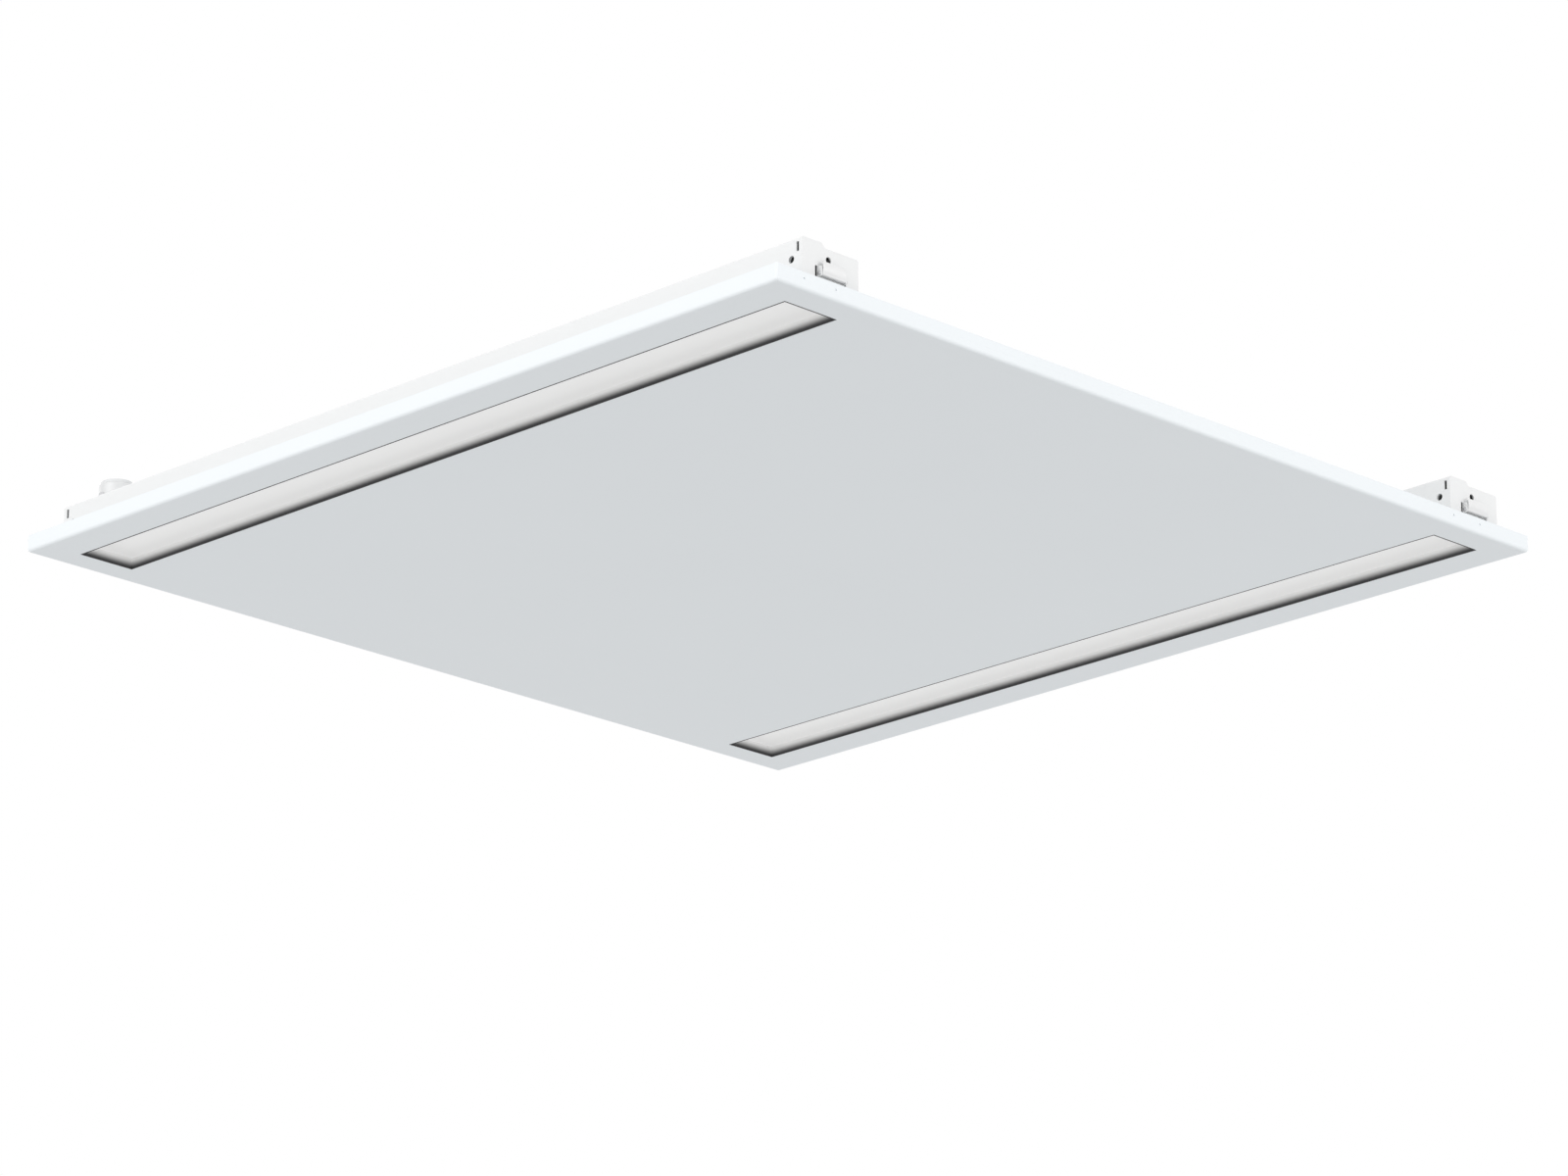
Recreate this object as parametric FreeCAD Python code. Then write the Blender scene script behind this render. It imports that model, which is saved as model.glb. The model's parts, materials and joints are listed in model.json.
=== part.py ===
import FreeCAD, Part
import math
import os

# Recessed troffer light for a 24 inch lay-in ceiling grid, in millimetres.
# The face looks down at z = 0, +Z points up into the ceiling void, and the two light slots run along Y.
# The origin is the centre of the face's underside. Left is -X, front is -Y.

# ---- face pan ----
grid_module = 609.6          # tee to tee, nominal 24 inch
lay_in_clearance = 6.35      # how much smaller than the module the fixture is
sheet = 0.8                  # painted steel sheet of the pan and channels
rim_height = 9.8             # upturned rim round the face
rim_bend = 2.0               # outside radius of the fold between face and rim
rim_corner = 1.2             # outside radius of the four upright corners

# ---- light slots ----
slot_width = 37.6
slot_end_inset = 18.6        # from the pan's end edge to the slot's end
slot_inset = 43.1            # from the pan's side edge to the slot's centre line
recess_depth = 6.5           # from the face up to the lens
aperture_round = 0.6         # rounding of the opening's lower edge
baffle_wall = 0.7            # dark liner inside the recess
baffle_setback = 0.15        # liner's lower edge above the face

# ---- channels above the slots ----
channel_height = 31.8        # top of the outer wall above the face
lip_width = 14.0             # folded top of the tall wall
cover_drop = 2.5             # the cover lies this much lower than the lip
channel_inset = 4.4          # from the pan's end edge to the end plate's outer face
bend_inside = 0.6            # inside radius of the folded channel sheets
joggle_gap = 0.4             # from the lip's edge to the cover's step
tuck_gap = 0.1               # cover's tucked edge to the inside of the lip's fold
key_slot_inset = 7.7         # slot high on the tall wall, from the pan's end edge
key_slot_width = 1.8
key_slot_drop = 7.6          # from the channel's top down to the key slot's foot
key_slot_height = 5.3
tie_hole_inset = 12.3        # tie wire hole, from the pan's end edge
tie_hole_drop = 11.1         # from the channel's top
tie_hole_radius = 2.0
rivet_pitch = 140.0          # rivets along the lip
lip_rivet_end_gap = 12.0     # least distance from a rivet to the channel's end

# ---- end plates ----
end_flange_depth = 12.0
end_flange_gap = 0.5         # from the reflector's hem up to the flange
end_hole_shift = -1.4        # open hole, from the slot's centre line
end_hole_drop = 8.6          # from the channel's top
end_hole_radius = 1.9
foot_from = -28.1            # foot's two ends, from the slot's centre line
foot_to = 4.9
foot_drop = 1.0              # from the rim's top down to the foot's riser
rim_rivet_shifts = (-23.5, -0.5)
rim_rivet_drop = 3.6         # from the rim's top

# ---- swing-out grid clips ----
lug_gap = 17.2               # between the two lugs on an end plate
lug_low = 12.2
lug_height = 6.0
lug_reach = 2.6
lug_round = 1.2
window_width = 1.8           # opening left where a lug was folded out
clip_pin_radius = 0.6
clip_pin_out = 1.5           # from the end plate's outer face to the pin
clip_pin_rise = 1.7          # from the lug's lower edge to the pin
pin_head_radius = 1.1
pin_head = 0.5
clip_sheet = 0.6
clip_length = 6.6            # from the pin up to the tip
clip_bow = 0.8               # how far the flap bulges outwards
clip_side_gap = 0.2
running_gap = 0.05           # radial, round every hinge pin

# ---- lens, reflector and light source ----
lens_thickness = 2.0
lens_side_gap = 0.2
reflector_sheet = 0.6
reflector_foot_half = 15.2   # half width outside, at the lens
reflector_head_half = 10.2   # half width outside, at the board
reflector_gap = 1.0          # from the reflector's top up to the board
reflector_slope_run = 24.0   # length of each sloping end
reflector_end_gap = 1.0      # from the slot's end to the foot of the slope
emitter_window = 8.0
board_width = 18.0
board_thickness = 1.6
board_front_gap = 24.4       # from the end plate's inner face to the board
board_back_gap = 34.4
emitter_pitch = 21.0
emitter_end_gap = 5.0        # least distance from an emitter to the end of the reflector's flat top
emitter_size = (2.8, 3.5, 0.7)
plug_width = 8.0             # plug under the board's front end
plug_length = 7.0
plug_height = 3.5
plug_setback = 1.0
plug_lead_half_pitch = 1.5   # half the distance between the two leads in a plug

# ---- cross braces, which are also the wireways ----
brace_position = 130.0       # from the middle, front and back
brace_top_width = 40.0
brace_height = 18.0
brace_flange = 12.4
brace_tab_drop = 1.0         # from the channel covers' top down to the tab's top
brace_tab_half = 12.0
brace_rivet_half_span = 8.0

# ---- driver box ----
box_half_width = 50.0
wiring_room = 50.0           # from a brace's middle to the box's end wall
box_depth = 37.2
box_corner = 1.6
box_lug_half = 15.0          # inward tab that takes the thumbscrew
box_lug_reach = 14.0
box_screw_shift = 36.0       # from the box's middle line
box_screw_beyond = 11.0      # outwards from the brace's middle line, clear of the leads below
knockout_radius = 11.1
knockout_gap = 0.1
knockout_shift = 20.0
floor_port_back_x = -18.0    # where the supply leads come up through the floor

# ---- hinged cover of the driver box ----
cover_sheet = 0.8
cover_skirt = 8.0
cover_gap = 0.4
hinge_pin_radius = 1.5
hinge_wall = 1.1
hinge_out = 3.0              # from the box's wall to the pin
hinge_half_length = 150.0
hinge_knuckles = 5
hinge_end_gap = 0.3
hinge_head_radius = 2.2
hinge_head = 1.0
thumb_head_radius = 6.0
thumb_head_height = 6.0
thumb_flutes = 18
thumb_flute_radius = 0.5
thumb_edge = 0.5             # chamfer round the head and the tip
thumb_shank_radius = 2.0
thumb_shank_length = 7.0
thumb_hole_gap = 0.05        # in the cover, which keeps the screw centred
thumb_seat_gap = 0.5         # in the box's tab, which the screw swings out of

# ---- driver and wiring ----
driver_width = 60.0
driver_height = 28.0
driver_brace_gap = 3.0       # from the driver's foot to the brace
driver_corner = 2.5
driver_foot_length = 11.0
driver_foot_half = 20.0
driver_foot_sheet = 1.2
lead_radius = 0.9
lead_pitch = 2.2
lead_in_channel = 17.2       # from the slot's centre line
lead_bend = 4.0
lead_tight_bend = 2.4        # where a lead turns inside a channel
lead_wide_bend = 12.0
lead_ramp = 40.0             # over which a lead climbs or drops inside a channel
lead_drop = 8.0              # from the channel cover down to the supply leads
lead_socket = 3.0            # how far a lead enters a terminal
lead_socket_gap = 0.3
lead_far = 4.6               # outer leads in the front floor bushing, from the middle
lead_near = 1.5              # inner leads there
port_hole_radius = 3.2       # passage through a wall bushing
port_wall = 0.6
port_flange = 0.6
floor_hole_radius = 5.8      # passage through a floor bushing
terminal_size = (18.0, 18.0, 13.4)
terminal_round = 1.0
terminal_x = -33.0
terminal_beyond = 18.0       # from the brace's middle to the terminal block
terminal_lead_rise = 7.4
supply_entries = (6.0, 12.0)     # along the terminal block, from its left side
driver_entries = (5.5, 12.5)     # along the terminal block, from its front
driver_inputs = (12.0, 18.0)     # across the driver's back end
ground_x = 4.0
ground_beyond = 7.0          # from the brace's edge to the ground screw
lug_rim = 0.6                # ring terminal round the screw's head
lug_tongue = 9.0
lug_tongue_half = 1.6
lug_sleeve_radius = 1.6
lug_sleeve_from = 12.0
lug_sleeve_to = 6.5

# ---- cable connector on the left channel ----
connector_inset = 16.6       # from the pan's back edge
connector_radius = 10.4
connector_round = 1.2
connector_top = 48.2
connector_bore = 7.9
connector_throat = 5.5
connector_collar_radius = 11.4
connector_collar = 1.8
connector_neck = 8.0
connector_neck_drop = 3.4    # below the channel cover's top
locknut_across = 20.0
locknut_height = 2.4
clamp_screw_up = 39.6
clamp_head_radius = 2.4
clamp_head = 1.2
clamp_shank_radius = 1.6
clamp_shank_gap = 0.2        # from the shank's tip to the bore

# ---- rivets and small screws ----
rivet_radius = 1.6
rivet_head_radius = 2.6
rivet_head = 0.9
rivet_dome = 0.7
rivet_tail_radius = 2.2
rivet_mandrel_radius = 0.6
rivet_mandrel_depth = 0.5
screw_radius = 2.0
screw_gap = 0.05
screw_head_radius = 3.8
screw_head = 2.2
screw_dome = 1.3
screw_tail = 2.4
cross_recess_length = 4.2
cross_recess_width = 0.9
cross_recess_depth = 1.0

# ---- for making the solids ----
past = 1.0                   # how far a cut runs past the sheet that it goes through
tiny = 0.01                  # for telling which edges lie in a plane

# ---- worked out from the sizes above ----
side = grid_module - lay_in_clearance
half = side / 2
slot_x = half - slot_inset
slot_length = side - 2 * slot_end_inset
channel_half = slot_width / 2 + 2 * sheet
channel_inner = channel_half - sheet
plate_face = half - channel_inset
channel_end = plate_face - sheet
rim_inner = half - sheet
lip_low = channel_height - sheet
cover_top = channel_height - cover_drop
cover_low = cover_top - sheet
lip_edge = lip_width - channel_half
on_face = 1.5 * sheet
lens_top = recess_depth + lens_thickness
board_low = cover_low - board_thickness
reflector_head = board_low - reflector_gap
key_slot_low = channel_height - key_slot_drop
tie_hole_up = channel_height - tie_hole_drop
end_hole_up = channel_height - end_hole_drop
end_flange_low = lens_top + reflector_sheet + end_flange_gap
foot_riser_top = rim_height - foot_drop
rim_rivet_up = rim_height - rim_rivet_drop
reflector_end = slot_length / 2 - reflector_end_gap
reflector_head_run = reflector_end - reflector_slope_run
board_front_reach = channel_end - board_front_gap
board_back_reach = channel_end - board_back_gap
emitters_each_side = int((reflector_head_run - emitter_end_gap) / emitter_pitch)
lip_rivets_each_side = int((channel_end - lip_rivet_end_gap) / rivet_pitch)
brace_top = sheet + brace_height
brace_inner_top = brace_top - sheet
brace_tab_top = cover_top - brace_tab_drop
brace_rivet_up = (brace_top + brace_tab_top) / 2
brace_reach = slot_x - channel_half
floor_top = brace_top + sheet
box_top = brace_top + box_depth
hinge_x = box_half_width + hinge_out
hinge_knuckle_radius = hinge_pin_radius + hinge_wall
thumb_x = -(box_half_width - sheet - box_lug_reach / 2)
clip_y = plate_face + clip_pin_out
clip_z = lug_low + clip_pin_rise
connector_y = half - connector_inset
driver_lead_z = floor_top + terminal_lead_rise
lead_socket_radius = lead_radius + lead_socket_gap
knockout_up = (floor_top + box_top) / 2
box_half_length = brace_position + wiring_room
lead_up = (lens_top + reflector_sheet + brace_inner_top) / 2
driver_front = -(brace_position - brace_top_width / 2 - driver_brace_gap - driver_foot_length)
driver_back = -driver_front
terminal_y = brace_position + terminal_beyond
ground_y = brace_position + brace_top_width / 2 + ground_beyond
under_lip = lip_low - sheet / 2
cover_plate = cover_top - sheet / 2
joggle_start = lip_edge + joggle_gap
joggle_end = joggle_start + under_lip - cover_plate
driver_outputs = (-lead_far, -lead_near, lead_near, lead_far)
connector_x = -slot_x + (joggle_end + sheet / 2 + channel_inner - bend_inside) / 2
X = FreeCAD.Vector(1, 0, 0)
Y = FreeCAD.Vector(0, 1, 0)
Z = FreeCAD.Vector(0, 0, 1)
BOTH = (-1, 1)
SIDES = (("left", -1), ("right", 1))
ENDS = (("front", -1), ("back", 1))


def vec(x, y, z):
    return FreeCAD.Vector(x, y, z)


def block(x0, x1, y0, y1, z0, z1):
    lows = vec(min(x0, x1), min(y0, y1), min(z0, z1))
    return Part.makeBox(abs(x1 - x0), abs(y1 - y0), abs(z1 - z0), lows)


def rod(start, end, radius):
    axis = end - start
    return Part.makeCylinder(radius, axis.Length, start, axis)


def drill(body, start, end, radius):
    # a round hole that runs a little past both its ends
    over = (end - start).normalize() * past
    return body.cut(rod(start - over, end + over, radius))


def drill_blind(body, mouth, out, depth, radius):
    # a round hole with a floor, from its mouth inwards
    return body.cut(rod(mouth - out * depth, mouth + out * past, radius))


def hex_rod(start, end, across):
    # two of the flats face along Y
    axis = end - start
    corner = across / math.sqrt(3)
    points = []
    for step in range(7):
        angle = math.radians(60 * step)
        points.append(vec(corner * math.cos(angle), corner * math.sin(angle), 0))
    prism = Part.Face(Part.makePolygon(points)).extrude(vec(0, 0, axis.Length))
    prism.Placement = FreeCAD.Placement(start, FreeCAD.Rotation(Z, axis))
    return prism


def fuse(shapes):
    whole = shapes[0]
    for shape in shapes[1:]:
        whole = whole.fuse(shape)
    return whole.removeSplitter()


def mirror_y(shape):
    return shape.mirror(vec(0, 0, 0), Y)


def mirror_x(shape):
    return shape.mirror(vec(0, 0, 0), X)


def at_end(shape, end):
    # shapes are drawn for the front end and mirrored to the back one
    return shape if end < 0 else mirror_y(shape)


def unit(a, b):
    dx = b[0] - a[0]
    dy = b[1] - a[1]
    length = math.hypot(dx, dy)
    return dx / length, dy / length


def sheet_outline(path, thickness, inside):
    # the closed outline of a folded sheet whose middle line is path, with one radius per corner
    half_sheet = thickness / 2
    left = []
    right = []
    last = len(path) - 1
    for index, point in enumerate(path):
        before = unit(path[max(index - 1, 0)], path[max(index, 1)])
        after = unit(path[min(index, last - 1)], path[min(index + 1, last)])
        turn = before[0] * after[1] - before[1] * after[0]
        spread = half_sheet / (1 + before[0] * after[0] + before[1] * after[1])
        nx = -(before[1] + after[1]) * spread
        ny = (before[0] + after[0]) * spread
        inner = inside if abs(turn) > 1e-6 else 0
        outer = inside + thickness if abs(turn) > 1e-6 else 0
        left.append((point[0] + nx, point[1] + ny, inner if turn > 0 else outer))
        right.append((point[0] - nx, point[1] - ny, outer if turn > 0 else inner))
    return left + right[::-1]


def outline_face(outline, place):
    # outline holds (u, v, corner radius), and place turns u, v into a point in space
    edges = []
    count = len(outline)
    ends = []
    for index, (u, v, radius) in enumerate(outline):
        previous = outline[index - 1]
        following = outline[(index + 1) % count]
        into = unit((u, v), previous)
        out = unit((u, v), following)
        angle = math.acos(max(-1, min(1, into[0] * out[0] + into[1] * out[1])))
        back_off = radius / math.tan(angle / 2) if radius > 0 else 0
        start = (u + into[0] * back_off, v + into[1] * back_off)
        finish = (u + out[0] * back_off, v + out[1] * back_off)
        middle = None
        if radius > 0:
            reach = radius / math.sin(angle / 2) - radius
            bisector = unit((0, 0), (into[0] + out[0], into[1] + out[1]))
            middle = (u + bisector[0] * reach, v + bisector[1] * reach)
        ends.append((start, middle, finish))
    for index, (start, middle, finish) in enumerate(ends):
        if middle:
            edges.append(Part.Arc(place(*start), place(*middle), place(*finish)).toShape())
        next_start = ends[(index + 1) % count][0]
        if math.dist(finish, next_start) > 1e-6:
            edges.append(Part.LineSegment(place(*finish), place(*next_start)).toShape())
    return Part.Face(Part.Wire(edges))


def along_y(outline, shift, y0, y1):
    # an outline in x and z, moved sideways by shift and extruded along Y
    face = outline_face(outline, lambda u, v: vec(shift + u, y0, v))
    return face.extrude(vec(0, y1 - y0, 0))


def along_x(outline, x0, x1):
    # an outline in y and z, extruded along X
    face = outline_face(outline, lambda u, v: vec(x0, u, v))
    return face.extrude(vec(x1 - x0, 0, 0))


def rectangle(shift, half_x, half_y, z):
    points = []
    for x, y in ((-1, -1), (1, -1), (1, 1), (-1, 1), (-1, -1)):
        points.append(vec(shift + x * half_x, y * half_y, z))
    return Part.makePolygon(points)


def frustum(shift, half_x0, half_y0, z0, half_x1, half_y1, z1):
    return Part.makeLoft([rectangle(shift, half_x0, half_y0, z0), rectangle(shift, half_x1, half_y1, z1)],
                         True, True)


def ring_at(shape, point):
    # the round edge whose centre is at point
    return min(shape.Edges, key=lambda edge: edge.BoundBox.Center.distanceToPoint(point))


def rivet(seat, direction, grip, domed):
    # a shank through the sheets and a set tail behind them; the head outside is domed, or level with the sheet
    out = FreeCAD.Vector(direction).normalize()
    back = seat - out * grip
    parts = [rod(seat, back, rivet_radius), rod(back, back - out * rivet_head, rivet_tail_radius)]
    tip = seat
    if domed:
        tip = seat + out * rivet_head
        head = rod(seat, tip, rivet_head_radius)
        parts.append(head.makeFillet(rivet_dome, [ring_at(head, tip)]))
    return drill_blind(fuse(parts), tip, out, rivet_mandrel_depth, rivet_mandrel_radius)


def pan_screw(x, y, seat, grip):
    # a cross-recessed screw that stands upright, head on the seat and shank below it
    top = seat + screw_head
    head = rod(vec(x, y, seat), vec(x, y, top), screw_head_radius)
    head = head.makeFillet(screw_dome, [ring_at(head, vec(x, y, top))])
    shank = rod(vec(x, y, seat), vec(x, y, seat - grip - screw_tail), screw_radius)
    arm = cross_recess_length / 2
    slit = cross_recess_width / 2
    low = top - cross_recess_depth
    cross = block(x - arm, x + arm, y - slit, y + slit, low, top + past)
    cross = cross.fuse(block(x - slit, x + slit, y - arm, y + arm, low, top + past))
    return head.fuse(shank).removeSplitter().cut(cross)


def lead(points, bends):
    # straight runs joined by tangent arcs, swept by the lead's round section
    edges = []
    start = points[0]
    for index, bend in enumerate(bends):
        corner = points[index + 1]
        into = (points[index] - corner).normalize()
        out = (points[index + 2] - corner).normalize()
        angle = into.getAngle(out)
        back_off = bend / math.tan(angle / 2)
        first = corner + into * back_off
        second = corner + out * back_off
        reach = bend / math.sin(angle / 2) - bend
        middle = corner + (into + out).normalize() * reach
        edges.append(Part.LineSegment(start, first).toShape())
        edges.append(Part.Arc(first, middle, second).toShape())
        start = second
    edges.append(Part.LineSegment(start, points[-1]).toShape())
    spine = Part.Wire(edges)
    section = Part.Wire(Part.makeCircle(lead_radius, points[0], points[1] - points[0]))
    tube = spine.makePipeShell([section], True, False)
    wanted = math.pi * lead_radius ** 2 * spine.Length
    print("lead length", round(spine.Length, 1), "volume ratio", round(tube.Volume / wanted, 4))
    return tube


def make_face_pan():
    shell = block(-half, half, -half, half, 0, rim_height)
    upright = [e for e in shell.Edges if e.BoundBox.ZLength > rim_height / 2]
    shell = shell.makeFillet(rim_corner, upright)
    shell = shell.makeFillet(rim_bend, [e for e in shell.Edges if e.BoundBox.ZMax < tiny])
    hollow = block(-rim_inner, rim_inner, -rim_inner, rim_inner, sheet, rim_height + past)
    hollow = hollow.makeFillet(rim_bend - sheet, [e for e in hollow.Edges if e.BoundBox.ZMax < sheet + tiny])
    shell = shell.cut(hollow)
    half_slot = slot_width / 2
    half_run = slot_length / 2
    for sign in BOTH:
        cx = sign * slot_x
        collar = block(cx - half_slot - sheet, cx + half_slot + sheet, -half_run - sheet, half_run + sheet,
                       0, recess_depth)
        opening = block(cx - half_slot, cx + half_slot, -half_run, half_run, -past, recess_depth + past)
        shell = shell.fuse(collar).cut(opening)
    shell = shell.removeSplitter()
    mouth = []
    for edge in shell.Edges:
        box = edge.BoundBox
        beside_slot = abs(abs(box.Center.x) - slot_x) < half_slot + tiny
        if box.ZMax < tiny and beside_slot and abs(box.Center.y) < half_run + tiny:
            mouth.append(edge)
    shell = shell.makeFillet(aperture_round, mouth)
    for sign in BOTH:
        for shift in rim_rivet_shifts:
            x = sign * slot_x + shift
            for end in BOTH:
                shell = drill(shell, vec(x, end * rim_inner, rim_rivet_up), vec(x, end * half, rim_rivet_up),
                              rivet_radius)
    return shell


def make_baffle(sign):
    cx = sign * slot_x
    half_slot = slot_width / 2
    half_run = slot_length / 2
    low = baffle_setback + aperture_round
    outer = block(cx - half_slot, cx + half_slot, -half_run, half_run, low, recess_depth)
    inner = block(cx - half_slot + baffle_wall, cx + half_slot - baffle_wall,
                  -half_run + baffle_wall, half_run - baffle_wall, 0, lens_top)
    return outer.cut(inner)


def lip_rivet_places():
    for step in range(-lip_rivets_each_side, lip_rivets_each_side + 1):
        yield step * rivet_pitch


def make_housing(sign):
    cx = sign * slot_x
    wall_x = -channel_half + sheet / 2
    path = [(wall_x, sheet), (wall_x, channel_height - sheet / 2), (lip_edge, channel_height - sheet / 2)]
    body = along_y(sheet_outline(path, sheet, bend_inside), cx, -channel_end, channel_end)
    outside = cx - channel_half
    inside = outside + sheet
    for end in BOTH:
        y = end * (half - key_slot_inset)
        body = body.cut(block(outside - past, inside + past, y - key_slot_width / 2, y + key_slot_width / 2,
                              key_slot_low, key_slot_low + key_slot_height))
        y = end * (half - tie_hole_inset)
        body = drill(body, vec(outside, y, tie_hole_up), vec(inside, y, tie_hole_up), tie_hole_radius)
    for y in lip_rivet_places():
        x = cx + lip_edge - lip_width / 2
        body = drill(body, vec(x, y, lip_low), vec(x, y, channel_height), rivet_radius)
    if sign > 0:
        body = cut_brace_holes(body, sign)
    return body


def make_channel_cover(sign):
    cx = sign * slot_x
    right = channel_half - sheet / 2
    path = [(-channel_inner + bend_inside + tuck_gap, under_lip), (joggle_start, under_lip),
            (joggle_end, cover_plate), (right, cover_plate), (right, sheet)]
    body = along_y(sheet_outline(path, sheet, bend_inside), cx, -channel_end, channel_end)
    for y in lip_rivet_places():
        x = cx + lip_edge - lip_width / 2
        body = drill(body, vec(x, y, lip_low - sheet), vec(x, y, lip_low), rivet_radius)
    if sign < 0:
        body = cut_brace_holes(body, sign)
        body = drill(body, vec(connector_x, connector_y, cover_low), vec(connector_x, connector_y, cover_top),
                     connector_neck)
    return body


def cut_brace_holes(body, sign):
    # rivet holes and lead ports in the channel wall that the braces meet
    near = sign * brace_reach
    far = sign * (brace_reach + sheet)
    for end in BOTH:
        y = end * brace_position
        for step in BOTH:
            at = y + step * brace_rivet_half_span
            body = drill(body, vec(near, at, brace_rivet_up), vec(far, at, brace_rivet_up), rivet_radius)
        if has_wall_port(sign, end):
            body = drill(body, vec(near, y, lead_up), vec(far, y, lead_up), port_hole_radius + port_wall)
    return body


def has_wall_port(sign, end):
    # both front ports carry leads to the boards, and the back left one carries the supply
    return end < 0 or sign < 0


def make_end_plate(sign, end):
    cx = sign * slot_x
    outline = [(-channel_half, sheet, 0), (-channel_half, channel_height, bend_inside + sheet),
               (lip_edge, channel_height, 0), (lip_edge + cover_drop, cover_top, 0),
               (channel_half, cover_top, bend_inside + sheet), (channel_half, sheet, 0)]
    plate = along_y(outline, cx, -plate_face, -channel_end)
    flange_in = -channel_end + end_flange_depth
    left = block(cx - channel_inner, cx - channel_inner + sheet, -channel_end, flange_in,
                 end_flange_low, key_slot_low)
    right = block(cx + channel_inner - sheet, cx + channel_inner, -channel_end, flange_in,
                  end_flange_low, key_slot_low)
    riser = -rim_inner + sheet / 2
    foot_path = [(-channel_end, on_face), (riser, on_face), (riser, foot_riser_top)]
    foot = along_x(sheet_outline(foot_path, sheet, bend_inside), cx + foot_from, cx + foot_to)
    body = fuse([plate, left, right, foot])
    tie_y = -half + tie_hole_inset
    body = drill(body, vec(cx - channel_half, tie_y, tie_hole_up),
                 vec(cx - channel_inner + sheet, tie_y, tie_hole_up), tie_hole_radius)
    hole_x = cx + end_hole_shift
    body = drill(body, vec(hole_x, -plate_face, end_hole_up), vec(hole_x, -channel_end, end_hole_up),
                 end_hole_radius)
    for shift in rim_rivet_shifts:
        x = cx + shift
        body = drill(body, vec(x, -rim_inner, rim_rivet_up), vec(x, sheet - rim_inner, rim_rivet_up),
                     rivet_radius)
    lug_out = lug_gap / 2 + sheet
    for step in BOTH:
        near = cx + step * lug_gap / 2
        far = cx + step * lug_out
        window = cx + step * (lug_out + window_width)
        lug = block(near, far, -plate_face - lug_reach, -channel_end, lug_low, lug_low + lug_height)
        corners = [e for e in lug.Edges if e.BoundBox.XLength > tiny and e.BoundBox.YMax < -plate_face - tiny]
        body = body.cut(block(far, window, -plate_face - past, past - channel_end,
                              lug_low, lug_low + lug_height))
        body = body.fuse(lug.makeFillet(lug_round, corners))
    body = drill(body.removeSplitter(), vec(cx - lug_out, -clip_y, clip_z), vec(cx + lug_out, -clip_y, clip_z),
                 clip_pin_radius)
    return at_end(body, end)


def make_grid_clip(sign, end):
    cx = sign * slot_x
    reach = lug_gap / 2 - clip_side_gap
    barrel = clip_pin_radius + running_gap + clip_sheet
    knuckle = rod(vec(cx - reach, -clip_y, clip_z), vec(cx + reach, -clip_y, clip_z), barrel)
    foot_y = -clip_y - barrel + clip_sheet
    root = vec(cx - reach, foot_y, clip_z)
    tip_z = clip_z + clip_length
    tip = vec(cx - reach, foot_y, tip_z)
    belly = vec(cx - reach, foot_y - clip_bow, (clip_z + tip_z) / 2)
    out = vec(0, -clip_sheet, 0)
    inner = Part.Arc(root, belly, tip).toShape()
    outer = Part.Arc(root + out, belly + out, tip + out).toShape()
    low = Part.LineSegment(root, root + out).toShape()
    high = Part.LineSegment(tip, tip + out).toShape()
    flap = Part.Face(Part.Wire([low, outer, high, inner])).extrude(vec(2 * reach, 0, 0))
    clip = drill(fuse([knuckle, flap]), vec(cx - reach, -clip_y, clip_z), vec(cx + reach, -clip_y, clip_z),
                 clip_pin_radius + running_gap)
    return at_end(clip, end)


def make_clip_pins():
    pins = []
    lug_out = lug_gap / 2 + sheet
    for sign in BOTH:
        cx = sign * slot_x
        for end in BOTH:
            y = end * clip_y
            parts = [rod(vec(cx - lug_out, y, clip_z), vec(cx + lug_out, y, clip_z), clip_pin_radius)]
            for step in BOTH:
                seat = cx + step * lug_out
                parts.append(rod(vec(seat, y, clip_z), vec(seat + step * pin_head, y, clip_z), pin_head_radius))
            pins.append(fuse(parts))
    return Part.makeCompound(pins)


def make_lens(sign):
    cx = sign * slot_x
    wide = channel_inner - lens_side_gap
    run = slot_length / 2 + sheet
    return block(cx - wide, cx + wide, -run, run, recess_depth, lens_top)


def make_reflector(sign):
    cx = sign * slot_x
    wide = channel_inner - lens_side_gap
    run = slot_length / 2 + sheet
    shell = frustum(cx, reflector_foot_half, reflector_end, lens_top,
                    reflector_head_half, reflector_head_run, reflector_head)
    hem = block(cx - wide, cx + wide, -run, run, lens_top, lens_top + reflector_sheet)
    rise = reflector_head - lens_top
    side_wall = reflector_sheet * math.hypot(1, (reflector_foot_half - reflector_head_half) / rise)
    end_wall = reflector_sheet * math.hypot(1, reflector_slope_run / rise)
    inside = frustum(cx, reflector_foot_half - side_wall, reflector_end - end_wall, lens_top,
                     reflector_head_half - side_wall, reflector_head_run - end_wall, reflector_head)
    keep = block(cx - wide, cx + wide, -run, run, lens_top, reflector_head - reflector_sheet)
    half_window = emitter_window / 2
    reach = emitters_each_side * emitter_pitch + half_window
    window = block(cx - half_window, cx + half_window, -reach, reach, lens_top, reflector_head + past)
    return fuse([shell, hem]).cut(inside.common(keep)).cut(window)


def make_board(sign):
    cx = sign * slot_x
    return block(cx - board_width / 2, cx + board_width / 2, -board_front_reach, board_back_reach,
                 board_low, cover_low)


def make_emitters(sign):
    wide, long, tall = emitter_size
    left = sign * slot_x - wide / 2
    chips = []
    for step in range(-emitters_each_side, emitters_each_side + 1):
        front = step * emitter_pitch - long / 2
        chips.append(block(left, left + wide, front, front + long, board_low - tall, board_low))
    return Part.makeCompound(chips)


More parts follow.
